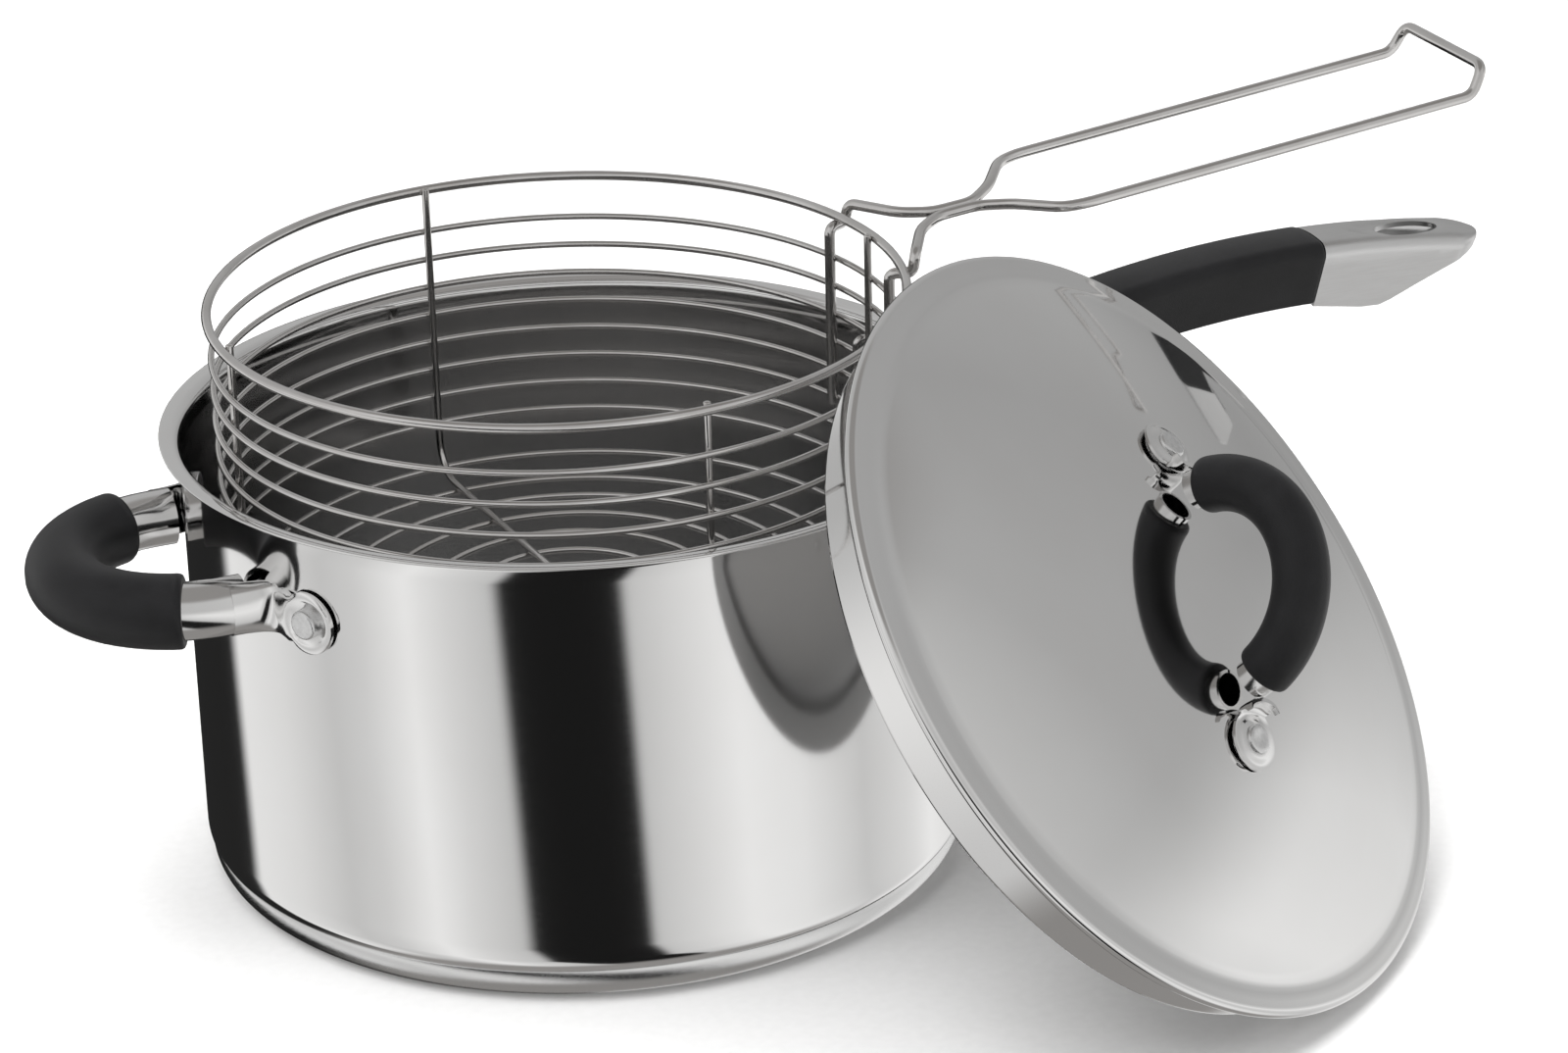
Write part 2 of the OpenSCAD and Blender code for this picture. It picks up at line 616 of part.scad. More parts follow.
module lid_rivets() color("lightgray") lid_place() rotate([0, 0, lid_turn]) lid_rivet_axes()
    translate([0, 0, tab_t]) rivet(sheet_t + tab_t);

// ---------- nodes ----------

pan_shell();
base_core();
base_cap();
helper_tube();
helper_grip();
helper_rivets();
handle_bracket();
bracket_rivets();
handle_screw();
handle_body();
handle_grip();
basket_top_ring();
for (i = [1:side_rings]) basket_side_ring(i);
basket_corner_ring();
for (i = [1:floor_rings]) basket_floor_ring(i);
for (i = [1:4]) basket_rib(i);
basket_handle();
basket_rest_hook();
lid_shell();
lid_tube();
lid_grip();
lid_rivets();
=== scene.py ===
import json
import math

import bpy
import numpy as np
from mathutils import Matrix, Vector

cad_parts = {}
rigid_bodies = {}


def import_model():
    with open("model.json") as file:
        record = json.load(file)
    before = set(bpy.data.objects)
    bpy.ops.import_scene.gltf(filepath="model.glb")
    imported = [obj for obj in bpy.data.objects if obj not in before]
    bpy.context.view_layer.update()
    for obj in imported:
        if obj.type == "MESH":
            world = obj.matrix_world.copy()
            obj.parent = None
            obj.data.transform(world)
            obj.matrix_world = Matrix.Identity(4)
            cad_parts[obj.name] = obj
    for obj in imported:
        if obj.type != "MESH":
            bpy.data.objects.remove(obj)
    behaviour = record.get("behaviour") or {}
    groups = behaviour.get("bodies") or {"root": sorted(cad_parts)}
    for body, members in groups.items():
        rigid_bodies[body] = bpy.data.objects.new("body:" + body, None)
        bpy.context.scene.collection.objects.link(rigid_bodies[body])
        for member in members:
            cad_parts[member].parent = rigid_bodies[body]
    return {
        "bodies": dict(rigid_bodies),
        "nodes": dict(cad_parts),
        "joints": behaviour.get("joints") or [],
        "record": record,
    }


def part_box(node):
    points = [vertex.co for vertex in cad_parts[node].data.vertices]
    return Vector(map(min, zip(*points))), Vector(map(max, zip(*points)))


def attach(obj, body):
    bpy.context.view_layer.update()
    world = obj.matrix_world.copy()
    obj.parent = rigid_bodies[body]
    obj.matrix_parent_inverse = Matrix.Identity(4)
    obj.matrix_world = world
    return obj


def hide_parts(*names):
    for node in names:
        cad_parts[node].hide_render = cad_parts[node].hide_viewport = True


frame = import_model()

MM = 0.001
ON_AXIS = 1e-7  # a smaller radius lies on the axis of a revolved outline
TURNS = 360     # steps round the large revolved pieces
SCENE = bpy.context.scene
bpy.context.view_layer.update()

# ---------------------------------------------------------------- mesh helpers


def make_mesh(name, verts, faces, material, body, slot, replaces):
    """One finished piece: verts in metres, smooth shaded, riding on a CAD body."""
    mesh = bpy.data.meshes.new(name)
    mesh.from_pydata([tuple(v) for v in verts], [], [tuple(f) for f in faces])
    mesh.update()
    mesh.validate()
    mesh.polygons.foreach_set("use_smooth", [True] * len(mesh.polygons))
    obj = bpy.data.objects.new(name, mesh)
    SCENE.collection.objects.link(obj)
    mesh.materials.append(material)
    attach(obj, body)
    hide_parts(*replaces)
    return obj


def sharpen(obj, angle):
    """Marks the edges sharper than angle, in degrees, so that they stay crisp."""
    obj.data.set_sharp_from_angle(angle=math.radians(angle))
    return obj


def join(*parts):
    """Joins (verts, faces) pairs into one."""
    verts, faces = [], []
    for v, f in parts:
        faces += [tuple(i + len(verts) for i in face) for face in f]
        verts += [Vector(p) for p in v]
    return verts, faces


def placed(matrix, part):
    """A part moved by a matrix."""
    return [matrix @ Vector(v) for v in part[0]], part[1]


def flipped(part):
    """The mirror image of a part in its own y = 0 plane, with its faces turned to match."""
    return [Vector((v[0], -v[1], v[2])) for v in part[0]], [tuple(reversed(f)) for f in part[1]]


def full_turn(count):
    """Equal angles round a full turn."""
    return [2 * math.pi * i / count for i in range(count)]


def revolve(outline, turns=TURNS):
    """Spins a closed outline of (radius, height) points about z; points on the axis are shared."""
    rings, verts = [], []
    for r, z in outline:
        if r < ON_AXIS:
            verts.append((0, 0, z))
            rings.append([len(verts) - 1] * turns)
        else:
            first = len(verts)
            verts += [(r * math.cos(a), r * math.sin(a), z) for a in full_turn(turns)]
            rings.append(list(range(first, first + turns)))
    faces = []
    for k, low in enumerate(rings):
        high = rings[(k + 1) % len(rings)]
        if low[0] == low[1] and high[0] == high[1]:
            continue
        for i in range(turns):
            j = (i + 1) % turns
            face = [low[i], low[j], high[j], high[i]]
            faces.append(tuple(dict.fromkeys(face)))
    return verts, faces


def loft(sections, caps=True):
    """Joins rows of points of the same length into a skin; each row closes on itself."""
    n = len(sections[0])
    verts = [p for row in sections for p in row]
    faces = []
    for k in range(len(sections) - 1):
        a, b = k * n, (k + 1) * n
        for i in range(n):
            j = (i + 1) % n
            faces.append((a + i, a + j, b + j, b + i))
    if caps:
        faces.append(tuple(reversed(range(n))))
        faces.append(tuple(range(len(verts) - n, len(verts))))
    return verts, faces


def path_frames(points):
    """Tangent, side and up vectors carried along a path without twist."""
    pts = [Vector(p) for p in points]
    last = len(pts) - 1
    tangents = [(pts[min(i + 1, last)] - pts[max(i - 1, 0)]).normalized() for i in range(last + 1)]
    side = tangents[0].orthogonal().normalized()
    frames = []
    for p, t in zip(pts, tangents):
        side = (side - t * side.dot(t)).normalized()
        frames.append((p, t, side, t.cross(side)))
    return frames


def circle(p, x, y, angles, radius):
    """Points round p at the given angles from x towards y."""
    return [p + (x * math.cos(a) + y * math.sin(a)) * radius for a in angles]


def facing(p, tangent, inward):
    """Unit vectors across a path at p: the one nearest to inward(p), and the one square to it."""
    x = inward(p)
    x = (x - tangent * x.dot(tangent)).normalized()
    return x, tangent.cross(x)


def wire(points, radius, around=16):
    """A round wire along a path, with domed ends."""
    frames = path_frames(points)
    start, end = frames[0], frames[-1]
    dome = [(0.97, 0.125), (0.8, 0.3), (0.45, 0.45)]  # shares of the radius: across, past the end
    rows = [(start[0] - start[1] * radius * past, start, share) for share, past in reversed(dome)]
    rows += [(f[0], f, 1.0) for f in frames]
    rows += [(end[0] + end[1] * radius * past, end, share) for share, past in dome]
    return loft([circle(p, f[2], f[3], full_turn(around), radius * share) for p, f, share in rows])


def eased(points, steps=7):
    """Rounds the corners of a path; each point is (x, y, z, how far the bend reaches)."""
    xyz = [Vector(p[:3]) for p in points]
    out = [xyz[0]]
    for i in range(1, len(points) - 1):
        before = xyz[i] + (xyz[i - 1] - xyz[i]).normalized() * points[i][3]
        after = xyz[i] + (xyz[i + 1] - xyz[i]).normalized() * points[i][3]
        for k in range(steps + 1):
            t = k / steps
            out.append(before * (1 - t) ** 2 + xyz[i] * 2 * t * (1 - t) + after * t * t)
    return out + [xyz[-1]]


def arc(cx, cy, r, start, end, steps=12):
    """Points of an arc, angles in degrees."""
    return [(cx + r * math.cos(math.radians(start + (end - start) * i / steps)),
             cy + r * math.sin(math.radians(start + (end - start) * i / steps)))
            for i in range(steps + 1)]


def smoothstep(a, b, x):
    """Rises smoothly from 0 at a to 1 at b."""
    t = min(1, max(0, (x - a) / (b - a)))
    return t * t * (3 - 2 * t)


def easing(count, power):
    """Shares of a stretch, crowding towards 1 at its end."""
    return [1 - (1 - k / count) ** power for k in range(1, count + 1)]


def run_along(path):
    """The distance along a path at each of its points."""
    run = [0.0]
    for a, b in zip(path, path[1:]):
        run.append(run[-1] + math.dist(a, b))
    return run


def thick(outer, thickness):
    """Closes a path of (radius, height) points into a sheet of that thickness on its left."""
    pts = [Vector(p) for p in outer]
    last = len(pts) - 1
    inner = []
    for i, p in enumerate(pts):
        normal = Vector((0, 0))
        for a, b in ((i - 1, i), (i, i + 1)):
            if 0 <= a and b <= last:
                d = (pts[b] - pts[a]).normalized()
                normal += Vector((-d.y, d.x))
        q = p + normal.normalized() * thickness
        inner.append((max(q.x, 0) if p.x > ON_AXIS else 0, q.y))
    return [tuple(p) for p in pts] + inner[::-1]


# ---------------------------------------------------------------- materials


class Nodes:
    """A material's node tree, built a node at a time."""

    def __init__(self, name):
        self.material = bpy.data.materials.new(name)
        self.material.use_nodes = True
        self.tree = self.material.node_tree
        self.shader = self.tree.nodes["Principled BSDF"]

    def add(self, kind, **values):
        """A new node; each value sets a property of it or else an input, with _ for a space."""
        node = self.tree.nodes.new(kind)
        for key, value in values.items():
            if hasattr(node, key):
                setattr(node, key, value)
            else:
                node.inputs[key.replace("_", " ")].default_value = value
        return node

    def link(self, a, b):
        self.tree.links.new(a, b)

    def coords(self, scale=(1, 1, 1)):
        """Object coordinates in metres, multiplied by scale."""
        place = self.add("ShaderNodeTexCoord")
        mapping = self.add("ShaderNodeMapping")
        mapping.inputs["Scale"].default_value = scale
        self.link(place.outputs["Object"], mapping.inputs["Vector"])
        return mapping.outputs["Vector"]

    def noise(self, vector, scale, detail=3.0, roughness=0.5):
        """Noise of that many waves to a metre."""
        node = self.add("ShaderNodeTexNoise", Scale=scale, Detail=detail, Roughness=roughness)
        self.link(vector, node.inputs["Vector"])
        return node.outputs["Fac"]

    def ramp(self, fac, stops):
        """A colour ramp of (position, colour) stops."""
        node = self.add("ShaderNodeValToRGB")
        elements = node.color_ramp.elements
        while len(elements) < len(stops):
            elements.new(0.5)
        for element, (position, value) in zip(elements, stops):
            element.position = position
            element.color = (*value, 1)
        self.link(fac, node.inputs["Fac"])
        return node.outputs["Color"]

    def ranged(self, fac, low, high):
        """Spreads 0 to 1 over low to high."""
        node = self.add("ShaderNodeMapRange")
        node.inputs["To Min"].default_value = low
        node.inputs["To Max"].default_value = high
        self.link(fac, node.inputs["Value"])
        return node.outputs["Result"]

    def bump(self, height, distance):
        """Raises the surface by up to distance, in metres."""
        node = self.add("ShaderNodeBump", Strength=1.0, Distance=distance)
        self.link(height, node.inputs["Height"])
        self.link(node.outputs["Normal"], self.shader.inputs["Normal"])

    def set(self, **values):
        """Sets inputs of the surface shader, with _ for a space."""
        for key, value in values.items():
            self.shader.inputs[key.replace("_", " ")].default_value = value


def grey(v, warm=0.0):
    """A grey, tinted towards red by a share."""
    return (v * (1 + warm), v, v * (1 - warm))


def polished_steel(name, tone=0.78, rough=(0.05, 0.1), smear=0.00002):
    """Mirror polished stainless steel with faint cloudy polish marks."""
    m = Nodes(name)
    m.set(Metallic=1.0, IOR=2.5)
    cloud = m.noise(m.coords(), scale=22, detail=4, roughness=0.6)
    fine = m.noise(m.coords((1, 1, 9)), scale=260, detail=5, roughness=0.65)
    m.link(m.ramp(cloud, [(0.3, grey(tone * 0.97, 0.006)), (0.7, grey(tone, 0.002))]),
           m.shader.inputs["Base Color"])
    m.link(m.ranged(fine, *rough), m.shader.inputs["Roughness"])
    m.bump(m.noise(m.coords(), scale=14, detail=2), smear)
    return m.material


def brushed_steel(name, tone, rough, squeeze=(1, 1, 1), grain=0.00002):
    """Satin metal; its fine grain is squeezed along each axis by a factor."""
    m = Nodes(name)
    m.set(Metallic=1.0, IOR=2.5)
    grain_noise = m.noise(m.coords(squeeze), scale=900, detail=6, roughness=0.7)
    cloud = m.noise(m.coords(), scale=35)
    m.link(m.ramp(grain_noise, [(0.25, grey(tone * 0.9, 0.004)), (0.75, grey(tone))]),
           m.shader.inputs["Base Color"])
    m.link(m.ranged(cloud, *rough), m.shader.inputs["Roughness"])
    m.bump(grain_noise, grain)
    return m.material


def silicone(name):
    """Matt black moulded silicone: a fine spark-eroded skin with faint dusty variation."""
    m = Nodes(name)
    m.set(Specular_IOR_Level=0.3, Sheen_Weight=0.03, Sheen_Roughness=0.4)
    cloud = m.noise(m.coords(), scale=60, detail=4, roughness=0.6)
    skin = m.noise(m.coords(), scale=2600, roughness=0.6)
    m.link(m.ramp(cloud, [(0.3, (0.005, 0.005, 0.0056)), (0.75, (0.009, 0.009, 0.01))]),
           m.shader.inputs["Base Color"])
    m.link(m.ranged(skin, 0.4, 0.56), m.shader.inputs["Roughness"])
    m.bump(skin, 0.00006)
    return m.material


def rivet_metal(name):
    """Satin aluminium rivet heads with upsetting marks."""
    m = Nodes(name)
    m.set(Metallic=1.0, IOR=1.5)
    marks = m.noise(m.coords(), scale=700, detail=5, roughness=0.7)
    m.link(m.ramp(marks, [(0.3, grey(0.62)), (0.7, grey(0.8))]), m.shader.inputs["Base Color"])
    m.link(m.ranged(marks, 0.24, 0.42), m.shader.inputs["Roughness"])
    m.bump(marks, 0.00008)
    return m.material


def drawn_wire(name):
    """Bright drawn steel wire with a fine drawn skin and a faint, cloudy tint."""
    m = Nodes(name)
    m.set(Metallic=1.0, IOR=2.5)
    tint = m.noise(m.coords(), scale=40)
    lines = m.noise(m.coords(), scale=1800, detail=4, roughness=0.6)
    m.link(m.ramp(tint, [(0.25, (0.56, 0.545, 0.53)), (0.7, (0.7, 0.69, 0.685))]),
           m.shader.inputs["Base Color"])
    m.link(m.ranged(lines, 0.08, 0.16), m.shader.inputs["Roughness"])
    m.bump(lines, 0.000015)
    return m.material


STEEL_PAN = polished_steel("pan_polish", tone=0.8)
STEEL_LID = polished_steel("lid_polish", tone=0.76, rough=(0.045, 0.075))
STEEL_TUBE = polished_steel("tube_polish", tone=0.78, rough=(0.08, 0.16), smear=0.00004)
# The lid's underside: a satin finish in a paler tone than its polished outside, painted light that
# lifts the shade in the gap between the lid and the pan.
LID_INSIDE_PAINTED_LIGHT = brushed_steel("lid_inside", tone=0.84, rough=(0.5, 0.6))
# The pan's inside: a brushed finish in a darker tone than its polished outside, painted shade for
# the pan's hollow.
PAN_INSIDE_PAINTED_SHADE = brushed_steel("pan_inside", tone=0.6, rough=(0.1, 0.17), squeeze=(1, 1, 20))
STEEL_BASE = brushed_steel("base_turned", tone=0.74, rough=(0.12, 0.2), squeeze=(1, 1, 30))
STEEL_SATIN = brushed_steel("handle_satin", tone=0.66, rough=(0.26, 0.36), squeeze=(0.08, 1, 1),
                            grain=0.00003)
ALUMINIUM = brushed_steel("core_aluminium", tone=0.7, rough=(0.35, 0.45))
SCREW_METAL = brushed_steel("screw_zinc", tone=0.5, rough=(0.3, 0.4))
SILICONE = silicone("silicone_black")
RIVET = rivet_metal("rivet_satin")
WIRE = drawn_wire("basket_wire")

# ---------------------------------------------------------------- measures from the frame


def node_points(node):
    """The vertices of a CAD node, in metres."""
    mesh = frame["nodes"][node].data
    co = np.zeros(len(mesh.vertices) * 3, np.float32)
    mesh.vertices.foreach_get("co", co)
    return co.reshape(-1, 3).astype(float)


def joint(name):
    """A joint of the frame."""
    return next(j for j in frame["joints"] if j["name"] == name)


def axis_matrix(origin, z_axis):
    """The least turn that brings +Z to z_axis, then a move to origin."""
    turn = Vector((0, 0, 1)).rotation_difference(Vector(z_axis).normalized())
    return Matrix.Translation(origin) @ turn.to_matrix().to_4x4()


def ring_measures(node):
    """Centre, normal, radius and wire radius of a ring node."""
    pts = node_points(node)
    centre = (pts.max(0) + pts.min(0)) / 2
    for _ in range(3):
        normal = np.linalg.svd(pts - centre, full_matrices=False)[2][2]
        normal *= np.sign(normal[2])
        flat = pts - centre - np.outer((pts - centre) @ normal, normal)
        reach = np.linalg.norm(flat, axis=1)
        centre = centre + normal * np.median((pts - centre) @ normal)
    far, near = reach.max(), reach.min()
    return Vector(centre), Vector(normal), (far + near) / 2, (far - near) / 2


# ---------------------------------------------------------------- pan

PAN_LOW, PAN_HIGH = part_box("pan_shell")
LIP_R = (PAN_HIGH.x - PAN_LOW.x) / 2
RIM_Z = PAN_HIGH.z
CORE_TOP = PAN_LOW.z
SHEET = 0.8 * MM
LIP_FLARE = 5.8 * MM
WALL_R = LIP_R - LIP_FLARE
LIP_BEND = 2.8 * MM
FLOOR_BEND = 7 * MM
CAP_BEND = 9 * MM


def pan_outline():
    """The pan's closed outline, and where its inner wall and floor begin in it."""
    lip_c = (WALL_R + LIP_BEND, RIM_Z - LIP_BEND - SHEET)
    floor_c = (WALL_R - FLOOR_BEND, CORE_TOP + FLOOR_BEND)
    heights = np.linspace(floor_c[1] + 4 * MM, lip_c[1] - 4 * MM, 6)
    radii = np.linspace(20 * MM, floor_c[0] - 3 * MM, 5)
    outside = ([(0, CORE_TOP)] + [(r, CORE_TOP) for r in radii]
               + arc(*floor_c, FLOOR_BEND, -90, 0, 10) + [(WALL_R, z) for z in heights]
               + arc(*lip_c, LIP_BEND, 180, 96, 10))
    edge = arc(LIP_R - SHEET / 2, RIM_Z - SHEET / 2, SHEET / 2, -90, 90, 6)
    lip = arc(*lip_c, LIP_BEND + SHEET, 96, 180, 10)
    inside = ([(WALL_R - SHEET, z) for z in reversed(heights)]
              + arc(*floor_c, FLOOR_BEND - SHEET, 0, -90, 10)
              + [(r, CORE_TOP + SHEET) for r in reversed(radii)] + [(0, CORE_TOP + SHEET)])
    shown = outside + edge + lip
    return shown + inside, len(shown)


def inner_side(obj, material, outline, start):
    """Gives the faces between a revolved outline's points from start on their own material."""
    first = sum(1 if r < ON_AXIS else TURNS for r, _ in outline[:start])
    obj.data.materials.append(material)
    for face in obj.data.polygons:
        if min(face.vertices) >= first:
            face.material_index = 1


def base_outline():
    """The base cap: a flat sheet turned up round the core, its edge lying on the pan's bend."""
    low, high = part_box("base_cap")
    cap_r, cap_top = (high.x - low.x) / 2, high.z
    corner = (cap_r - CAP_BEND, CAP_BEND)
    edge = 0.2 * MM   # the outer edge's round
    lean = 0.98 * MM  # how far the inner edge ends below the outer one
    outer = ([(r, 0) for r in (0, 30 * MM, 70 * MM, 100 * MM)] + arc(*corner, CAP_BEND, -90, 0, 14)
             + [(cap_r, cap_top - 2 * edge), (cap_r - edge, cap_top)])
    inner = ([(cap_r - SHEET, cap_top - lean), (cap_r - SHEET, cap_top - 1.5 * MM)]
             + arc(*corner, CAP_BEND - SHEET, 0, -90, 14) + [(30 * MM, SHEET), (0, SHEET)])
    return outer + inner


def build_pan():
    outline, inside = pan_outline()
    body = make_mesh("pan_body", *revolve(outline), STEEL_PAN, "pan", "polished_steel",
                     ("pan_shell",))
    # The inner wall and floor take the darker brushed tone, painted shade inside the pan.
    inner_side(body, PAN_INSIDE_PAINTED_SHADE, outline, inside)
    make_mesh("pan_base", *revolve(base_outline()), STEEL_BASE, "pan", "base_steel",
              ("base_cap",))


# ---------------------------------------------------------------- looped handles


LIP_LENGTH = 1.8 * MM


def folded_tube(points, radius, inward, slit=0.6 * MM, skin=1 * MM, around=30):
    """A tube folded from sheet, open along a seam that faces the vector inward at each point."""
    half = slit / radius
    angles = [half + (2 * math.pi - 2 * half) * i / around for i in range(around + 1)]
    sections = []
    for p, tangent, _, _ in path_frames(points):
        x, y = facing(p, tangent, inward)
        sections.append(circle(p, x, y, angles, radius)
                        + circle(p, x, y, reversed(angles), radius - skin))
    return loft(sections)


def sleeve(points, radius, bore, inward, around=48):
    """A moulded grip: rounded lips past its ends and a fine mould line on its outer side."""
    angles = full_turn(around)
    frames = path_frames(points)
    # (distance from the sleeve's end, share of its thickness)
    lip = [(0.0, 0.62), (0.35 * MM, 0.84), (0.9 * MM, 0.95), (LIP_LENGTH, 1.0)]

    def end_rows(frame, way):
        p, tangent = frame[:2]
        return [(p + tangent * way * LIP_LENGTH - tangent * way * inset, tangent,
                 bore + (radius - bore) * share) for inset, share in lip]

    def mould_line(a):
        return 0.1 * MM * math.exp(-((a - math.pi) / 0.07) ** 2)

    middle = [(f[0], f[1], radius) for f in frames]
    start, end = end_rows(frames[0], -1), end_rows(frames[-1], 1)
    skin = []
    for p, tangent, r in start + middle + end[::-1]:
        x, y = facing(p, tangent, inward)
        skin.append([p + (x * math.cos(a) + y * math.sin(a)) * (r - mould_line(a)) for a in angles])
    bores = [circle(p, *facing(p, tangent, inward), angles, bore)
             for p, tangent, _ in [start[0]] + middle + [end[0]]]
    return join(loft(skin, caps=False), loft([bores[0], skin[0]], caps=False),
                loft([skin[-1], bores[-1]], caps=False), loft(bores[::-1], caps=False))


def tongue(path, widths, bows, lift, thickness, across=14):
    """A strip along a plan path of (x, y) points, its width along z. widths and bows give its half
    width and how far its middle stands out at each point; lift(distance along, z) raises it."""
    pts = [Vector((p[0], p[1], 0)) for p in path]
    last = len(pts) - 1
    sections = []
    for i, (p, along) in enumerate(zip(pts, run_along(path))):
        t = (pts[min(i + 1, last)] - pts[max(i - 1, 0)]).normalized()
        n = Vector((t.y, -t.x, 0))
        outer, inner = [], []
        for k in range(across + 1):
            u = -1 + 2 * k / across
            z = u * widths[i]
            sink = bows[i] * (1 - math.sqrt(max(0, 1 - (0.98 * u) ** 2))) if bows[i] else 0
            out = lift(along, z) - sink
            edge = thickness * 0.35 * max(0, abs(u) - 0.86) / 0.14
            outer.append(p + n * (out - edge) + Vector((0, 0, z)))
            inner.append(p + n * (out - thickness) + Vector((0, 0, z)))
        sections.append(outer + inner[::-1])
    return loft(sections)


def tab_widths(run, centre, tab_r, neck, fade):
    """Half widths of a strip that ends in a round tab about centre. Its neck fades away over a
    stretch before the centre, in tab radii."""
    widths = []
    for s in run:
        d = s - centre
        disc = math.sqrt(max((0.06 * tab_r) ** 2, tab_r ** 2 - d * d)) if abs(d) < tab_r else 0
        keep = neck * (1 - smoothstep(-tab_r * fade[0], -tab_r * fade[1], d))
        widths.append(max(disc, keep))
    return widths


def pressed_tab(centre, height, inner, outer, start):
    """The lift of a tab pressed up by height outside a flat seat for its rivet: it rises between
    the radii inner and outer, and begins from start to 6 mm before the tab's centre."""
    def lift(s, z):
        d = math.hypot(s - centre, z)
        return (height * smoothstep(inner, outer, d)
                * smoothstep(centre - start, centre - 6 * MM, s))
    return lift


def rivet_head(radius, height, round_r=0.9 * MM, skirt=0.2 * MM):
    """A flat domed rivet head standing on z = 0, slightly dimpled on top."""
    return revolve([(0, height * 0.9), (radius * 0.35, height * 0.93), (radius * 0.6, height)]
                   + arc(radius - round_r, height - round_r, round_r, 80, 0, 5)
                   + [(radius * 1.02, skirt), (radius * 1.02, -skirt), (0, -skirt)], 48)


def tab_rivet():
    """A rivet through a tab and the sheet under it: its head stands on z = 0, up +Z."""
    shank_r, inner_r, inner_h, edge, grip = 2.5 * MM, 4 * MM, 1 * MM, 0.3 * MM, SHEET + TAB_T
    shank = revolve([(0, 0), (shank_r, 0), (shank_r, -grip), (0, -grip)], 32)
    inner = revolve([(0, -grip), (inner_r, -grip), (inner_r, edge - grip - inner_h),
                     (inner_r - edge, -grip - inner_h), (0, -grip - inner_h)], 40)
    return join(rivet_head(4.5 * MM, 2.6 * MM), shank, inner)


HELPER_LOW, HELPER_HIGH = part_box("helper_grip")
HELPER_GRIP_R = (HELPER_HIGH.z - HELPER_LOW.z) / 2
RIVET_Z = (HELPER_HIGH.z + HELPER_LOW.z) / 2
HELPER_LOOP_R = 37.5 * MM
HELPER_REACH = -HELPER_LOW.x - HELPER_GRIP_R
HELPER_X = HELPER_REACH - HELPER_LOOP_R
HELPER_TUBE_R = 17.5 * MM / 2
HELPER_CUT = 119 * MM
HELPER_SPREAD = math.radians(29.5)
HELPER_SLEEVE = math.radians(72)
TAB_R = 9.6 * MM
TAB_T = 1.4 * MM
TAB_REACH = 0.995  # share of a tab's radius at which its strip stops
TO_HELPER = Matrix.Translation((0, 0, RIVET_Z)) @ Matrix.Rotation(math.pi, 4, "Z")


def helper_loop(half):
    """The loop's round part in plan, half an angle each way."""
    return [Vector((HELPER_X + HELPER_LOOP_R * math.cos(a), HELPER_LOOP_R * math.sin(a), 0))
            for a in np.linspace(-half, half, 65)]


def helper_tongue():
    """The leg's outer side, carried on as a strip that bends onto the wall and widens to a tab."""
    bend = 5 * MM
    side = HELPER_LOOP_R + HELPER_TUBE_R
    face = WALL_R + TAB_T
    cy = side + bend
    cx = math.sqrt((face + bend) ** 2 - cy * cy)
    land = math.atan2(cy, cx)
    far = HELPER_SPREAD + TAB_R / face * TAB_REACH
    path = [(HELPER_CUT + past, side) for past in (5 * MM, 3 * MM, 0)]
    path += arc(cx, cy, bend, 270, 180 + math.degrees(land), 10)
    bearings = [land + (far - land) * share for share in easing(22, 1.6)]
    path += [(face * math.cos(b), face * math.sin(b)) for b in bearings]
    run = run_along(path)
    centre = run[-1] - TAB_R * TAB_REACH
    widths = tab_widths(run, centre, TAB_R, 8.1 * MM, (0.9, 0.2))
    bows = [HELPER_TUBE_R * 0.62 * (1 - smoothstep(2 * MM, centre - TAB_R * 0.35, s)) for s in run]
    lift = pressed_tab(centre, 0.9 * MM, 5.4 * MM, 8.2 * MM, 16 * MM)
    return tongue(path, widths, bows, lift, TAB_T)


def helper_inward(p):
    """From a point of the helper handle's loop or legs towards the middle of its gap."""
    return Vector((HELPER_X - max(p.x, HELPER_X), -p.y, 0))


def helper_path():
    """The tube's middle line in plan: a leg, half a turn and the other leg."""
    legs = np.linspace(HELPER_CUT, HELPER_X - 1 * MM, 6)
    right = [Vector((x, -HELPER_LOOP_R, 0)) for x in legs]
    left = [Vector((x, HELPER_LOOP_R, 0)) for x in reversed(legs)]
    return right + helper_loop(math.pi / 2) + left


def build_helper():
    tube = folded_tube(helper_path(), HELPER_TUBE_R, helper_inward)
    strip = helper_tongue()
    body = join(tube, strip, flipped(strip))
    sharpen(make_mesh("helper_loop", *placed(TO_HELPER, body), STEEL_TUBE, "pan", "tube_steel",
                      ("helper_tube",)), 50)
    half = HELPER_SLEEVE - LIP_LENGTH / HELPER_LOOP_R
    grip = sleeve(helper_loop(half), HELPER_GRIP_R, HELPER_TUBE_R, helper_inward)
    sharpen(make_mesh("helper_sleeve", *placed(TO_HELPER, grip), SILICONE, "pan", "silicone",
                      ("helper_grip",)), 50)
    out = Matrix.Translation((WALL_R + TAB_T, 0, 0)) @ Matrix.Rotation(math.pi / 2, 4, "Y")
    heads = [placed(TO_HELPER @ Matrix.Rotation(way * HELPER_SPREAD, 4, "Z") @ out, tab_rivet())
             for way in (-1, 1)]
    sharpen(make_mesh("helper_rivet_pair", *join(*heads), RIVET, "pan", "rivet_metal",
                      ("helper_rivets",)), 35)


# ---------------------------------------------------------------- long handle

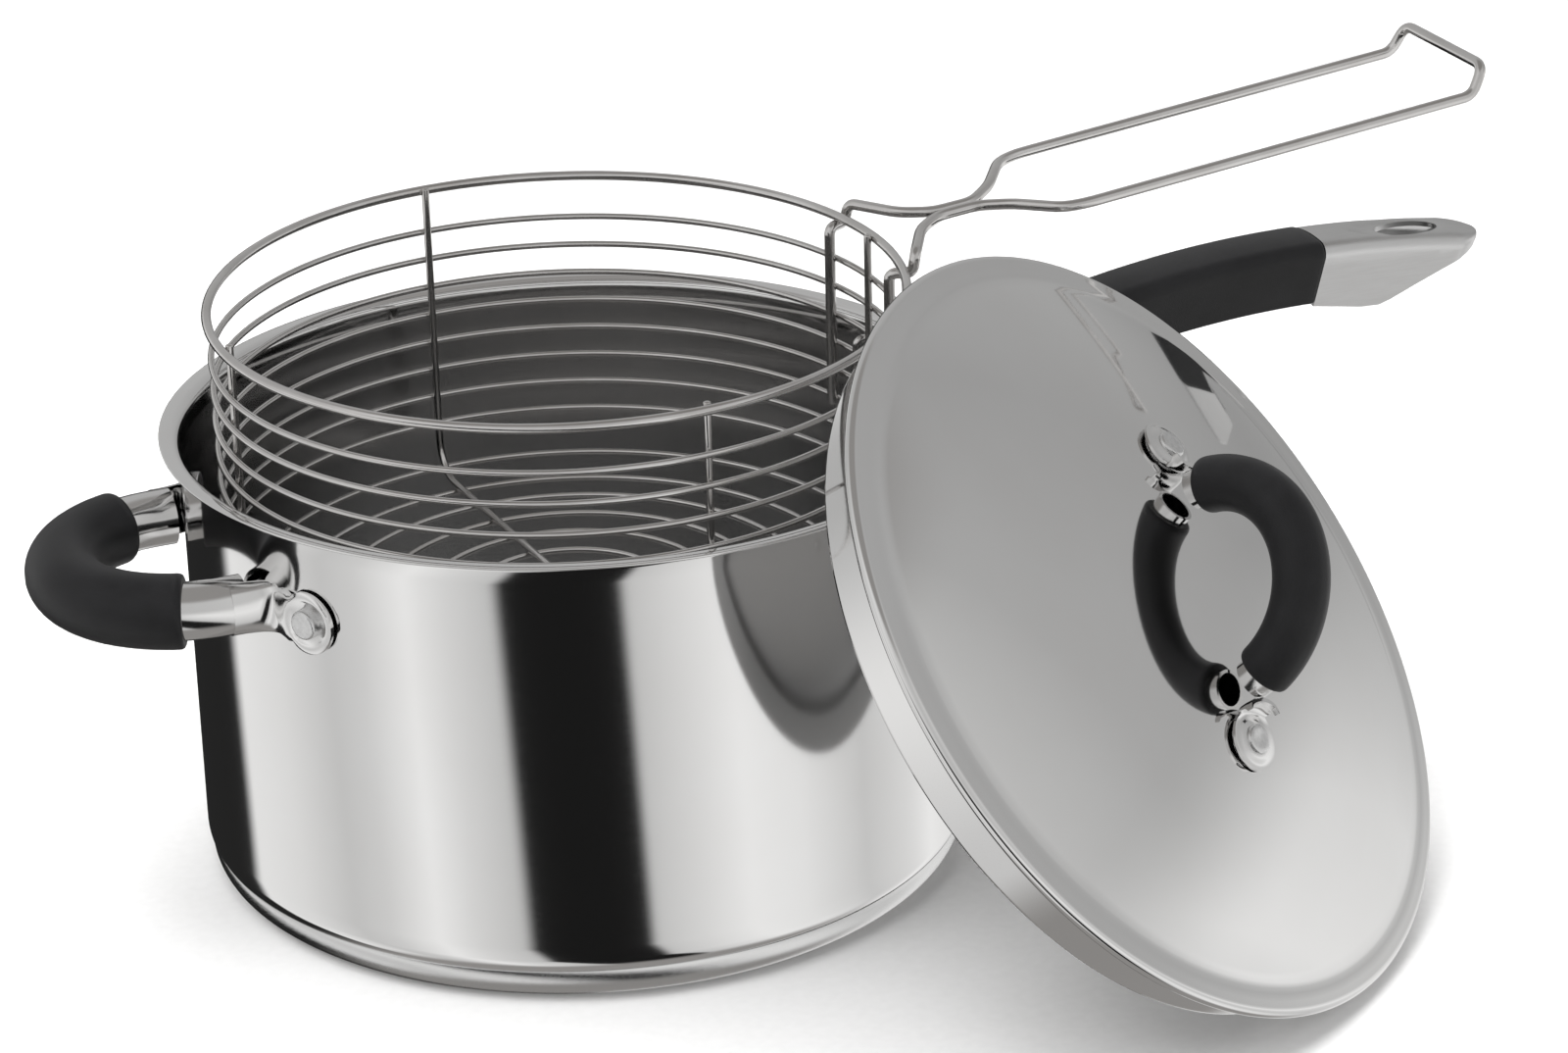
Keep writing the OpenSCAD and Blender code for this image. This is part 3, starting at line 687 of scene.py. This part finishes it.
GRIP_LOW, GRIP_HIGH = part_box("handle_grip")
HANDLE_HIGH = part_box("handle_body")[1]
HANDLE_W = GRIP_HIGH.y - GRIP_LOW.y
HANDLE_H = 22 * MM
HANDLE_TIP = HANDLE_HIGH.x
BODY_START, GRIP_START, GRIP_END = 133.2 * MM, 150 * MM, 259 * MM
HANDLE_SHEET = 1.5 * MM
ARCH_X, ARCH_R, ARCH_Z = 250 * MM, 380 * MM, 147.5 * MM
SIDE_SLOPE = 0.35
TOP_CROWN = 0.04
HOLE_X = HANDLE_TIP - 26 * MM
HOLE_HALF = (11.5 * MM, 6.5 * MM)
# The steel end's lower edge: (mm before the tip, mm above the handle's middle line)
UNDER_EDGE = [(80, -12.5), (62, -12.5), (42, -16.0), (35, -16.3), (31, -14.8), (1.5, 1.3), (0, 2.6)]


def round_corner(before, corner, after, r, steps):
    """Points of an arc of radius r that rounds a corner of an outline."""
    u, v = (before - corner).normalized(), (after - corner).normalized()
    half = u.angle(v) / 2
    centre = corner + (u + v).normalized() * r / math.sin(half)
    a = corner + u * r / math.tan(half) - centre
    b = corner + v * r / math.tan(half) - centre
    turn = a.angle_signed(b)
    out = []
    for k in range(steps + 1):
        t = -turn * k / steps
        out.append(centre + Vector((a.x * math.cos(t) - a.y * math.sin(t),
                                    a.x * math.sin(t) + a.y * math.cos(t))))
    return out


def handle_skin(w, top, low, r_top, across=18):
    """Points (y, up) of the handle's section from one lower edge over the top to the other."""
    low_half = max(w / 2 - SIDE_SLOPE * (top - low), w * 0.12)
    crown = TOP_CROWN * w
    edge = Vector((w / 2, top))
    foot = Vector((low_half, low))
    steps = 6
    side = [foot.lerp(edge, k / steps) for k in range(steps)]
    corner = round_corner(foot, edge, Vector((0, top + crown)), r_top, steps)
    side = [p for p in side if p.y < corner[0].y - 0.01 * MM] + corner
    side = [foot] * (2 * steps + 2 - len(side)) + side
    inner = corner[-1]
    roof = [Vector((inner.x * (1 - 2 * k / across),
                    inner.y + crown * 0.55 * (1 - (1 - 2 * k / across) ** 2)))
            for k in range(1, across)]
    return side + roof + [Vector((-p.x, p.y)) for p in reversed(side)]


def on_arch(x, points, sink=None):
    """Stands a section's (y, up) points on the handle's arch, its middle at x."""
    a = math.asin((x - ARCH_X) / ARCH_R)
    rows = []
    for y, up in points:
        r = ARCH_R + up - (sink(x, y) if sink and up > 0 else 0)
        rows.append(Vector((ARCH_X + r * math.sin(a), y, ARCH_Z - ARCH_R + r * math.cos(a))))
    return rows


def dish(x, y):
    """The pressed hollow that the oval hanging hole sits in, drawn out towards the grip."""
    d = math.hypot((x - HOLE_X + 6.5 * MM) / (19.5 * MM), y / (9.6 * MM))
    return 1.9 * MM * (1 - smoothstep(0.5, 1.0, d))


def end_measures(x):
    """Half width and lower edge of the steel end at x: a half-round tip, cut up underneath."""
    r = HANDLE_W / 2
    on_top = ARCH_X + (x - ARCH_X) * (ARCH_R + HANDLE_H / 2) / ARCH_R
    to_tip = max(HANDLE_TIP - on_top, 0.15 * MM)
    half = r - 0.4 * MM
    if to_tip < r:
        half = min(half, math.sqrt(r * r - (r - to_tip) ** 2))
    distances, heights = zip(*reversed(UNDER_EDGE))
    fall = ARCH_R - math.sqrt(ARCH_R ** 2 - (x - ARCH_X) ** 2)
    return half, float(np.interp(to_tip / MM, distances, heights)) * MM + fall


def channel(stations, thickness):
    """A pressed channel, open below, from (x, w, top, low, corner radius) stations."""
    rows = []
    for x, w, top, low, r in stations:
        outer = handle_skin(w, top, low, r)
        t = min(thickness, w * 0.2, (top - low) * 0.35)
        inner = handle_skin(w - 2 * t, top - t, low, r * 0.7)
        rows.append(on_arch(x, outer, dish) + on_arch(x, inner, dish)[::-1])
    return loft(rows)


def handle_grip():
    """The silicone sleeve, its ends drawn in by a soft round."""
    # (distance from the sleeve's end, how far it is drawn in), in mm
    ends = [(0, 0.9), (0.25, 0.5), (0.7, 0.18), (1.4, 0.0)]
    middle = np.linspace(GRIP_START + 4 * MM, GRIP_END - 4 * MM, 40)
    stations = ([(GRIP_START + d * MM, k * MM) for d, k in ends] + [(x, 0) for x in middle]
                + [(GRIP_END - d * MM, k * MM) for d, k in reversed(ends)])
    half_h = HANDLE_H / 2
    return loft([on_arch(x, handle_skin(HANDLE_W - 2 * k, half_h - k, k - half_h, 4 * MM))
                 for x, k in stations])


def handle_core():
    """The steel channel inside the sleeve."""
    w, h = HANDLE_W - 6 * MM, HANDLE_H / 2 - 3 * MM
    return channel([(x, w, h, -h, 4 * MM) for x in np.linspace(BODY_START, GRIP_END + 1 * MM, 24)],
                   HANDLE_SHEET)


def end_stations():
    """Stations of the steel end, crowding towards its round tip."""
    tip_run = 16 * MM
    top = HANDLE_H / 2 - 0.3 * MM
    tip = ARCH_X + (HANDLE_TIP - ARCH_X) * ARCH_R / (ARCH_R + HANDLE_H / 2) - 0.1 * MM
    xs = list(np.linspace(GRIP_END, tip - tip_run, 50))
    xs += [tip - tip_run * (1 - share) for share in easing(22, 1.7)]
    stations = []
    for x in xs:
        half, low = end_measures(x)
        stations.append((x, 2 * half, top, low, min(4 * MM, half * 0.5, (top - low) * 0.4)))
    return stations


def build_handle():
    sharpen(make_mesh("handle_sleeve", *handle_grip(), SILICONE, "pan", "silicone",
                      ("handle_grip",)), 40)
    stations = end_stations()
    _, w, top, low, r = stations[0]
    gap = 0.2 * MM
    section = handle_skin(w - 2 * gap, top - gap, low + gap, r)
    plate = loft([on_arch(x, section) for x in (GRIP_END, GRIP_END + 3 * MM)])
    end = cut_oval(channel(stations, HANDLE_SHEET), HOLE_X, HOLE_HALF)
    sharpen(make_mesh("handle_steel", *join(handle_core(), plate, end), STEEL_SATIN, "pan",
                      "satin_steel", ("handle_body",)), 32)


def cut_oval(part, x, half):
    """Cuts an upright oval hole through a part's roof, above the handle's middle line."""
    ring = [(x + half[0] * math.cos(a), half[1] * math.sin(a)) for a in full_turn(72)]
    above = 200 * MM
    tool = loft([[Vector((px, py, z)) for px, py in ring] for z in (ARCH_Z, above)])
    pair = []
    for name, (verts, faces) in (("cut_part", part), ("cut_tool", tool)):
        mesh = bpy.data.meshes.new(name)
        mesh.from_pydata([tuple(v) for v in verts], [], [tuple(f) for f in faces])
        mesh.update()
        obj = bpy.data.objects.new(name, mesh)
        SCENE.collection.objects.link(obj)
        pair.append(obj)
    cutter = pair[0].modifiers.new("hole", "BOOLEAN")
    cutter.operation, cutter.solver, cutter.object = "DIFFERENCE", "EXACT", pair[1]
    result = bpy.data.meshes.new_from_object(
        pair[0].evaluated_get(bpy.context.evaluated_depsgraph_get()))
    verts = [v.co.copy() for v in result.vertices]
    faces = [tuple(f.vertices) for f in result.polygons]
    for obj in pair:
        bpy.data.objects.remove(obj)
    bpy.data.meshes.remove(result)
    return verts, faces


# ---------------------------------------------------------------- basket

TOP_CENTRE, TOP_NORMAL, TOP_R, TOP_WIRE = ring_measures("basket_top_ring")
TO_BASKET = axis_matrix(TOP_CENTRE, TOP_NORMAL)
RIB_WIRE = 1.2 * MM
WELD = 0.1 * MM
RIB_R = TOP_R - TOP_WIRE - RIB_WIRE + WELD
DEPTH = 98 * MM   # of the ribs' floor stretch below the top ring
CORNER = 12 * MM  # radius of the ribs' bend
RIB_BEARINGS = (0, 93.5, 180, 273.5)


def build_ring(name, node):
    """A wire ring in the place of a CAD node."""
    centre, normal, radius, wire_r = ring_measures(node)
    section = [(radius + wire_r * math.cos(a), wire_r * math.sin(a)) for a in full_turn(16)]
    make_mesh(name, *placed(axis_matrix(centre, normal), revolve(section, 200)), WIRE, "basket",
              "wire_steel", (node,))


def rib_path():
    """Local path of a rib, z = 0 at the top ring: down, round the bend and in."""
    down = [(RIB_R, 0, z) for z in np.linspace(1.1 * MM, -DEPTH + CORNER, 8)]
    bend = [(x, 0, z) for x, z in arc(RIB_R - CORNER, -DEPTH + CORNER, CORNER, 0, -90, 10)[1:]]
    level = [(x, 0, -DEPTH) for x in np.linspace(RIB_R - CORNER, 14.3 * MM, 8)[1:]]
    return down + bend + level


def build_ribs():
    for i, bearing in enumerate(RIB_BEARINGS, 1):
        turn = Matrix.Rotation(math.radians(bearing), 4, "Z")
        part = wire(rib_path(), RIB_WIRE, 14)
        make_mesh(f"rib_{i}", *placed(TO_BASKET @ turn, part), WIRE, "basket", "wire_steel",
                  (f"basket_rib_{i}",))


def mirrored(half):
    """A path that goes on along its mirror image in the y = 0 plane."""
    return half + [(x, -y, z, reach) for x, y, z, reach in reversed(half)]


def build_wire(name, half, radius, around, node):
    """A symmetric bent wire; half its path is in mm from the top ring's centre."""
    path = [p * MM for p in eased(mirrored(half))]
    make_mesh(name, *placed(TO_BASKET, wire(path, radius, around)), WIRE, "basket", "wire_steel",
              (node,))


def build_basket_handle():
    """Legs down the basket's side, pinched at the root, then a long loop with a turned-up tip."""
    leg_x, leg_y, leg_foot, under_ring = 100.76, 22.52, -62.6, -3.15
    grip_x, grip_y, tip_x = 168, 25.5, 311

    def grip_z(x):
        return 10 + 0.1 * (x - grip_x)

    half = [(leg_x, leg_y, leg_foot, 0), (leg_x, leg_y, under_ring, 2.6),
            (107.4, 25.6, under_ring, 2.6), (108.6, 25.2, 3.0, 3), (118.5, 8, 3.8, 5),
            (127.5, 2, 4.6, 3.5), (141, 1.9, 5.8, 3.5), (150, 9, 7.2, 4),
            (160.5, grip_y - 2, 9, 4), (grip_x, grip_y, grip_z(grip_x), 3),
            (tip_x - 4.5, grip_y, grip_z(tip_x - 4.5), 3.4),
            (tip_x, grip_y - 1.5, grip_z(tip_x) + 8.5, 4.4)]
    build_wire("basket_grip_wire", half, 1.75 * MM, 18, "basket_handle")


def build_rest_hook():
    """The wire that hangs the basket on the pan's rim."""
    rim_z, ring_z, gap, hook_r, drop = 143, 180.6, 0.35, 1.25, 0.9
    hook_x, hook_y, hook_z, tip_x = 103.36, 9, rim_z - ring_z + gap + hook_r - drop, 131.6
    half = [(hook_x, hook_y, hook_z - 26, 0), (hook_x, hook_y, hook_z, 2.4),
            (tip_x, hook_y, hook_z, 2.4)]
    build_wire("rest_hook_wire", half, hook_r * MM, 14, "basket_rest_hook")


def build_basket():
    names = (["top_ring"] + [f"side_ring_{i}" for i in range(1, 9)] + ["corner_ring"]
             + [f"floor_ring_{i}" for i in range(1, 7)])
    for name in names:
        build_ring(name, f"basket_{name}")
    build_ribs()
    build_basket_handle()
    build_rest_hook()


# ---------------------------------------------------------------- lid

SKIRT_R, EDGE_R, EDGE_H, DOME_H = 115.2 * MM, 123 * MM, 17 * MM, 43.5 * MM
GROOVE_R, GROOVE_H = EDGE_R - 9.5 * MM, EDGE_H + 3.2 * MM
DOME_RISE = DOME_H - GROOVE_H
DOME_R = (GROOVE_R ** 2 + DOME_RISE ** 2) / (2 * DOME_RISE)
LID_LOOP_R, LID_TUBE_R, LID_GRIP_R = 31 * MM, 6.1 * MM, 8.4 * MM
LID_RIVET_R, LID_TAB_R = 47.4 * MM, 9 * MM


def lid_matrix():
    """The lid's own frame: +Z out of its dome, x along its handle, z = 0 at the skirt's end."""
    z = Vector(joint("lid_lift")["axis"]).normalized()
    heads = node_points("lid_rivets")
    middle = Vector(heads.mean(0))
    spread = heads - heads.mean(0)
    x = Vector(np.linalg.svd(spread, full_matrices=False)[2][0])
    x = (x - z * x.dot(z)).normalized()
    if x.z > 0:
        x = -x
    low = (node_points("lid_shell") @ np.array(z)).min()
    clear = 0.04 * MM  # keeps the rounder visual edge off the floor
    m = Matrix((x, z.cross(x), z)).transposed().to_4x4()
    m.translation = middle + z * (low - middle.dot(z)) + Vector((0, 0, clear))
    return m


def dome_at(r):
    """Height of the dome's outside at a radius."""
    return DOME_H - DOME_R + math.sqrt(DOME_R ** 2 - r * r)


def lid_outline():
    """The lid's sheet: skirt, shoulder under the rolled edge, edge, groove and dome."""
    half = math.degrees(math.asin(GROOVE_R / DOME_R))
    dome = arc(0, DOME_H - DOME_R, DOME_R, 90 - half, 90, 40)
    path = ([(SKIRT_R, h * MM) for h in (0, 0.6, 3, 7, 11)]
            + arc(SKIRT_R + 1.2 * MM, EDGE_H - 4.2 * MM, 1.2 * MM, 180, 100, 5)
            + [(EDGE_R - 3 * MM, EDGE_H - 3.0 * MM)]
            + arc(EDGE_R - 2.2 * MM, EDGE_H + 0.1 * MM, 2.2 * MM, -55, 90, 12)
            + [(EDGE_R - 4 * MM, EDGE_H + 2.55 * MM), (EDGE_R - 6.2 * MM, EDGE_H + 2.8 * MM),
               (GROOVE_R + 1.6 * MM, GROOVE_H - 0.35 * MM)]
            + dome)
    return thick(path, SHEET)


def lid_tongue():
    """The leg's outer side carried down, bent outwards and riveted on the dome. Drawn in plan
    (x outwards, y upwards) and then stood up."""
    bend = 4 * MM
    side = LID_LOOP_R + LID_TUBE_R
    slope = math.radians(10)
    turn_x = side + bend
    start = turn_x - (bend + TAB_T) * math.sin(slope)
    turn_z = dome_at(start) + (bend + TAB_T) * math.cos(slope)
    path = [(side, DOME_H + 4.5 * MM), (side, DOME_H + 3 * MM), (side, turn_z)]
    path += arc(turn_x, turn_z, bend, 180, 270 - math.degrees(slope), 10)[1:]
    start = path[-1][0]
    end = LID_RIVET_R + LID_TAB_R * TAB_REACH
    for share in easing(22, 1.6):
        x = start + (end - start) * share
        path.append((x, dome_at(x) + TAB_T))
    run = run_along(path)
    centre = run[-1] - LID_TAB_R * TAB_REACH
    widths = tab_widths(run, centre, LID_TAB_R, 6.2 * MM, (0.95, 0.3))
    bows = [LID_TUBE_R * 0.6 * (1 - smoothstep(2 * MM, centre - LID_TAB_R * 0.6, s)) for s in run]
    lift = pressed_tab(centre, 0.8 * MM, 5.2 * MM, 7.8 * MM, 13 * MM)
    stand = Matrix(((1, 0, 0, 0), (0, 0, -1, 0), (0, 1, 0, 0), (0, 0, 0, 1)))
    return placed(stand, tongue(path, widths, bows, lift, TAB_T))


def lid_inward(p):
    """From a point of the lid's arch towards the arch's centre."""
    return Vector((0, 0, DOME_H)) - p


def lid_arch(low):
    """The arch's middle line, from low degrees above the dome's top on each side."""
    centre = Vector((0, 0, DOME_H))
    return [centre + Vector((math.cos(a), 0, math.sin(a))) * LID_LOOP_R
            for a in np.linspace(math.radians(low), math.radians(180 - low), 57)]


def lid_rivet(way):
    """A rivet square to the dome, on one side of the arch."""
    middle = Matrix.Translation((0, 0, DOME_H - DOME_R))
    lean = Matrix.Rotation(math.asin(way * LID_RIVET_R / DOME_R), 4, "Y")
    return placed(middle @ lean @ Matrix.Translation((0, 0, DOME_R + TAB_T)), tab_rivet())


def build_lid_shell(to_lid):
    outline = lid_outline()
    dome = make_mesh("lid_dome", *placed(to_lid, revolve(outline)), STEEL_LID, "lid",
                     "polished_steel", ("lid_shell",))
    # The underside takes the paler satin tone, painted light against the shade under the lid.
    inner_side(dome, LID_INSIDE_PAINTED_LIGHT, outline, len(outline) // 2)


def build_lid_handle(to_lid):
    strip = lid_tongue()
    other = placed(Matrix.Rotation(math.pi, 4, "Z"), strip)
    body = join(folded_tube(lid_arch(5), LID_TUBE_R, lid_inward), strip, other)
    sharpen(make_mesh("lid_arch", *placed(to_lid, body), STEEL_TUBE, "lid", "tube_steel",
                      ("lid_tube",)), 50)
    low = 13 + math.degrees(LIP_LENGTH / LID_LOOP_R)
    grip = sleeve(lid_arch(low), LID_GRIP_R, LID_TUBE_R, lid_inward)
    sharpen(make_mesh("lid_sleeve", *placed(to_lid, grip), SILICONE, "lid", "silicone",
                      ("lid_grip",)), 50)
    heads = placed(to_lid, join(lid_rivet(-1), lid_rivet(1)))
    sharpen(make_mesh("lid_rivet_pair", *heads, RIVET, "lid", "rivet_metal", ("lid_rivets",)), 35)


def build_lid():
    to_lid = lid_matrix()
    build_lid_shell(to_lid)
    build_lid_handle(to_lid)


# ---------------------------------------------------------------- carried-over CAD nodes


def finish_cad(node, material, angle):
    """Shows a CAD node as it is, in its own material, with edges sharper than angle kept crisp."""
    obj = frame["nodes"][node]
    obj.data.materials.clear()
    obj.data.materials.append(material)
    for slot in obj.material_slots:
        slot.material = material
    sharpen(obj, angle)


# ---------------------------------------------------------------- studio

CAMERA_AT = Vector((-0.4344, -1.1935, 0.6296))
CAMERA_LOOK = Vector((0.3593, 0.8504, -0.3844)).normalized()
CAMERA_ROLL = -0.0245
CAMERA_LENS = 101.25


def build_camera():
    """The photograph's camera."""
    data = bpy.data.cameras.new("camera")
    data.lens, data.sensor_width = CAMERA_LENS, 36
    data.clip_start, data.clip_end = 0.05, 50
    cam = bpy.data.objects.new("camera", data)
    SCENE.collection.objects.link(cam)
    level = CAMERA_LOOK.cross(Vector((0, 0, 1))).normalized()
    up = level.cross(CAMERA_LOOK)
    c, s = math.cos(CAMERA_ROLL), math.sin(CAMERA_ROLL)
    right = level * c + up * s
    top = up * c - level * s
    m = Matrix((right, top, -CAMERA_LOOK)).transposed().to_4x4()
    m.translation = CAMERA_AT
    cam.matrix_world = m
    SCENE.camera = cam


# Brightness of the studio's panels by bearing: (degrees from the camera's bearing, brightness)
LOW_PANELS = [
    (-180, 0.02), (-126, 0.02), (-121, 0.95), (-100, 0.86), (-80, 0.66), (-68, 0.74), (-52, 1.0),
    (-40, 0.8), (-26, 0.64), (-23, 0.012), (10.5, 0.012), (13, 0.66), (43, 1.0), (62, 0.92),
    (86, 0.68), (108, 0.84), (120, 1.0), (142, 0.85), (170, 0.36)]
HIGH_PANELS = [
    (-180, 0.5), (-120, 0.55), (-60, 0.85), (0, 0.6), (60, 0.7), (90, 0.5), (130, 0.42),
    (150, 0.46), (180, 0.5)]
CAMERA_BEARING = math.radians(-110)
PANEL_LEAN = math.radians(75)  # how far the low panels lean, per unit of the ray's z
PANEL_FOOT = -0.395            # the ray's z at which they stand at their stated bearings


class World:
    """The world's node tree, built a node at a time."""

    def __init__(self, name):
        world = bpy.data.worlds.new(name)
        SCENE.world = world
        world.use_nodes = True
        self.tree = world.node_tree
        self.background = self.tree.nodes["Background"]

    def link(self, a, b):
        self.tree.links.new(a, b)

    def maths(self, operation, *values):
        """A calculation on its values; numbers are set on its inputs and sockets linked."""
        node = self.tree.nodes.new("ShaderNodeMath")
        node.operation = operation
        for socket, value in zip(node.inputs, values):
            if isinstance(value, float):
                socket.default_value = value
            else:
                self.link(value, socket)
        return node.outputs[0]

    def ray(self):
        """The ray's direction, its x turned to the camera's bearing."""
        coords = self.tree.nodes.new("ShaderNodeTexCoord")
        turn = self.tree.nodes.new("ShaderNodeVectorRotate")
        turn.rotation_type = "Z_AXIS"
        turn.inputs["Angle"].default_value = -CAMERA_BEARING
        self.link(coords.outputs["Generated"], turn.inputs["Vector"])
        split = self.tree.nodes.new("ShaderNodeSeparateXYZ")
        self.link(turn.outputs["Vector"], split.inputs["Vector"])
        return split.outputs

    def panels(self, bearing, stops):
        """Panels round the studio, their brightness going by bearing."""
        spread = self.tree.nodes.new("ShaderNodeMapRange")
        spread.inputs["From Min"].default_value = -math.pi
        spread.inputs["From Max"].default_value = math.pi
        self.link(bearing, spread.inputs["Value"])
        node = self.tree.nodes.new("ShaderNodeValToRGB")
        elements = node.color_ramp.elements
        while len(elements) < len(stops):
            elements.new(0.5)
        for element, (degrees, v) in zip(elements, stops):
            element.position = (degrees + 180) / 360
            element.color = (v, v * 0.997, v * 0.99, 1)
        self.link(spread.outputs["Result"], node.inputs["Fac"])
        return node.outputs["Color"]

    def rise(self, value, low, high):
        """Rises smoothly from 0 to 1 as a value goes from low to high."""
        node = self.tree.nodes.new("ShaderNodeMapRange")
        node.interpolation_type = "SMOOTHSTEP"
        node.inputs["From Min"].default_value = low
        node.inputs["From Max"].default_value = high
        self.link(value, node.inputs["Value"])
        return node.outputs["Result"]

    def mix(self, factor, a, b):
        """Goes from colour a to colour b, which is a socket or a fixed colour."""
        node = self.tree.nodes.new("ShaderNodeMix")
        node.data_type = "RGBA"
        self.link(factor, node.inputs["Factor"])
        self.link(a, node.inputs["A"])
        if isinstance(b, tuple):
            node.inputs["B"].default_value = b
        else:
            self.link(b, node.inputs["B"])
        return node.outputs["Result"]


def build_world():
    """A studio of soft white panels with a dark gap in front, under a greyer vault."""
    w = World("studio")
    x, y, z = w.ray()
    bearing = w.maths("ARCTAN2", y, x)
    lean = w.maths("MULTIPLY_ADD", z, PANEL_LEAN, -PANEL_LEAN * PANEL_FOOT)
    low = w.panels(w.maths("ADD", bearing, lean), LOW_PANELS)
    high = w.panels(bearing, HIGH_PANELS)
    walls = w.mix(w.rise(z, -0.05, 0.3), low, high)
    vault = w.rise(w.maths("ABSOLUTE", z), 0.72, 0.9)
    w.link(w.mix(vault, walls, (0.32, 0.31, 0.3, 1)), w.background.inputs["Color"])
    w.background.inputs["Strength"].default_value = 1.0


def area_light(name, at, aim, size, power):
    """A soft light that lights surfaces but isn't seen in them."""
    data = bpy.data.lights.new(name, "AREA")
    data.shape, data.size, data.size_y, data.energy = "RECTANGLE", size[0], size[1], power
    light = bpy.data.objects.new(name, data)
    SCENE.collection.objects.link(light)
    light.location = at
    light.rotation_euler = (Vector(aim) - Vector(at)).to_track_quat("-Z", "Y").to_euler()
    light.visible_glossy = False


def build_floor(half=6, sunk=0.2 * MM):
    """A plain pale floor just under the pan, left out of its reflections."""
    m = Nodes("floor_paper")
    m.set(Roughness=0.9, Specular_IOR_Level=0.1)
    fibre = m.noise(m.coords(), scale=300, detail=4)
    m.link(m.ramp(fibre, [(0.3, grey(0.9)), (0.7, grey(0.93))]), m.shader.inputs["Base Color"])
    mesh = bpy.data.meshes.new("floor")
    mesh.from_pydata([(-half, -half, 0), (half, -half, 0), (half, half, 0), (-half, half, 0)], [],
                     [(0, 1, 2, 3)])
    mesh.materials.append(m.material)
    floor = bpy.data.objects.new("floor", mesh)
    SCENE.collection.objects.link(floor)
    floor.location.z = -sunk
    floor.visible_glossy = False


def build_lights():
    area_light("key", (-0.9, -0.5, 1.7), (0.05, 0, 0.05), (1.2, 1.2), 20)
    area_light("fill", (1.6, -1.2, 1.3), (0.1, 0, 0.1), (1.4, 1.0), 9)
    area_light("top", (0.1, 0.3, 2.2), (0.1, 0, 0), (2.0, 2.0), 42)


build_camera()
build_pan()
build_helper()
build_handle()
build_basket()
build_lid()
for node, material in {"base_core": ALUMINIUM, "handle_bracket": STEEL_SATIN,
                       "bracket_rivets": RIVET, "handle_screw": SCREW_METAL}.items():
    finish_cad(node, material, 30)
build_world()
build_floor()
build_lights()
SCENE.view_settings.view_transform = "Standard"
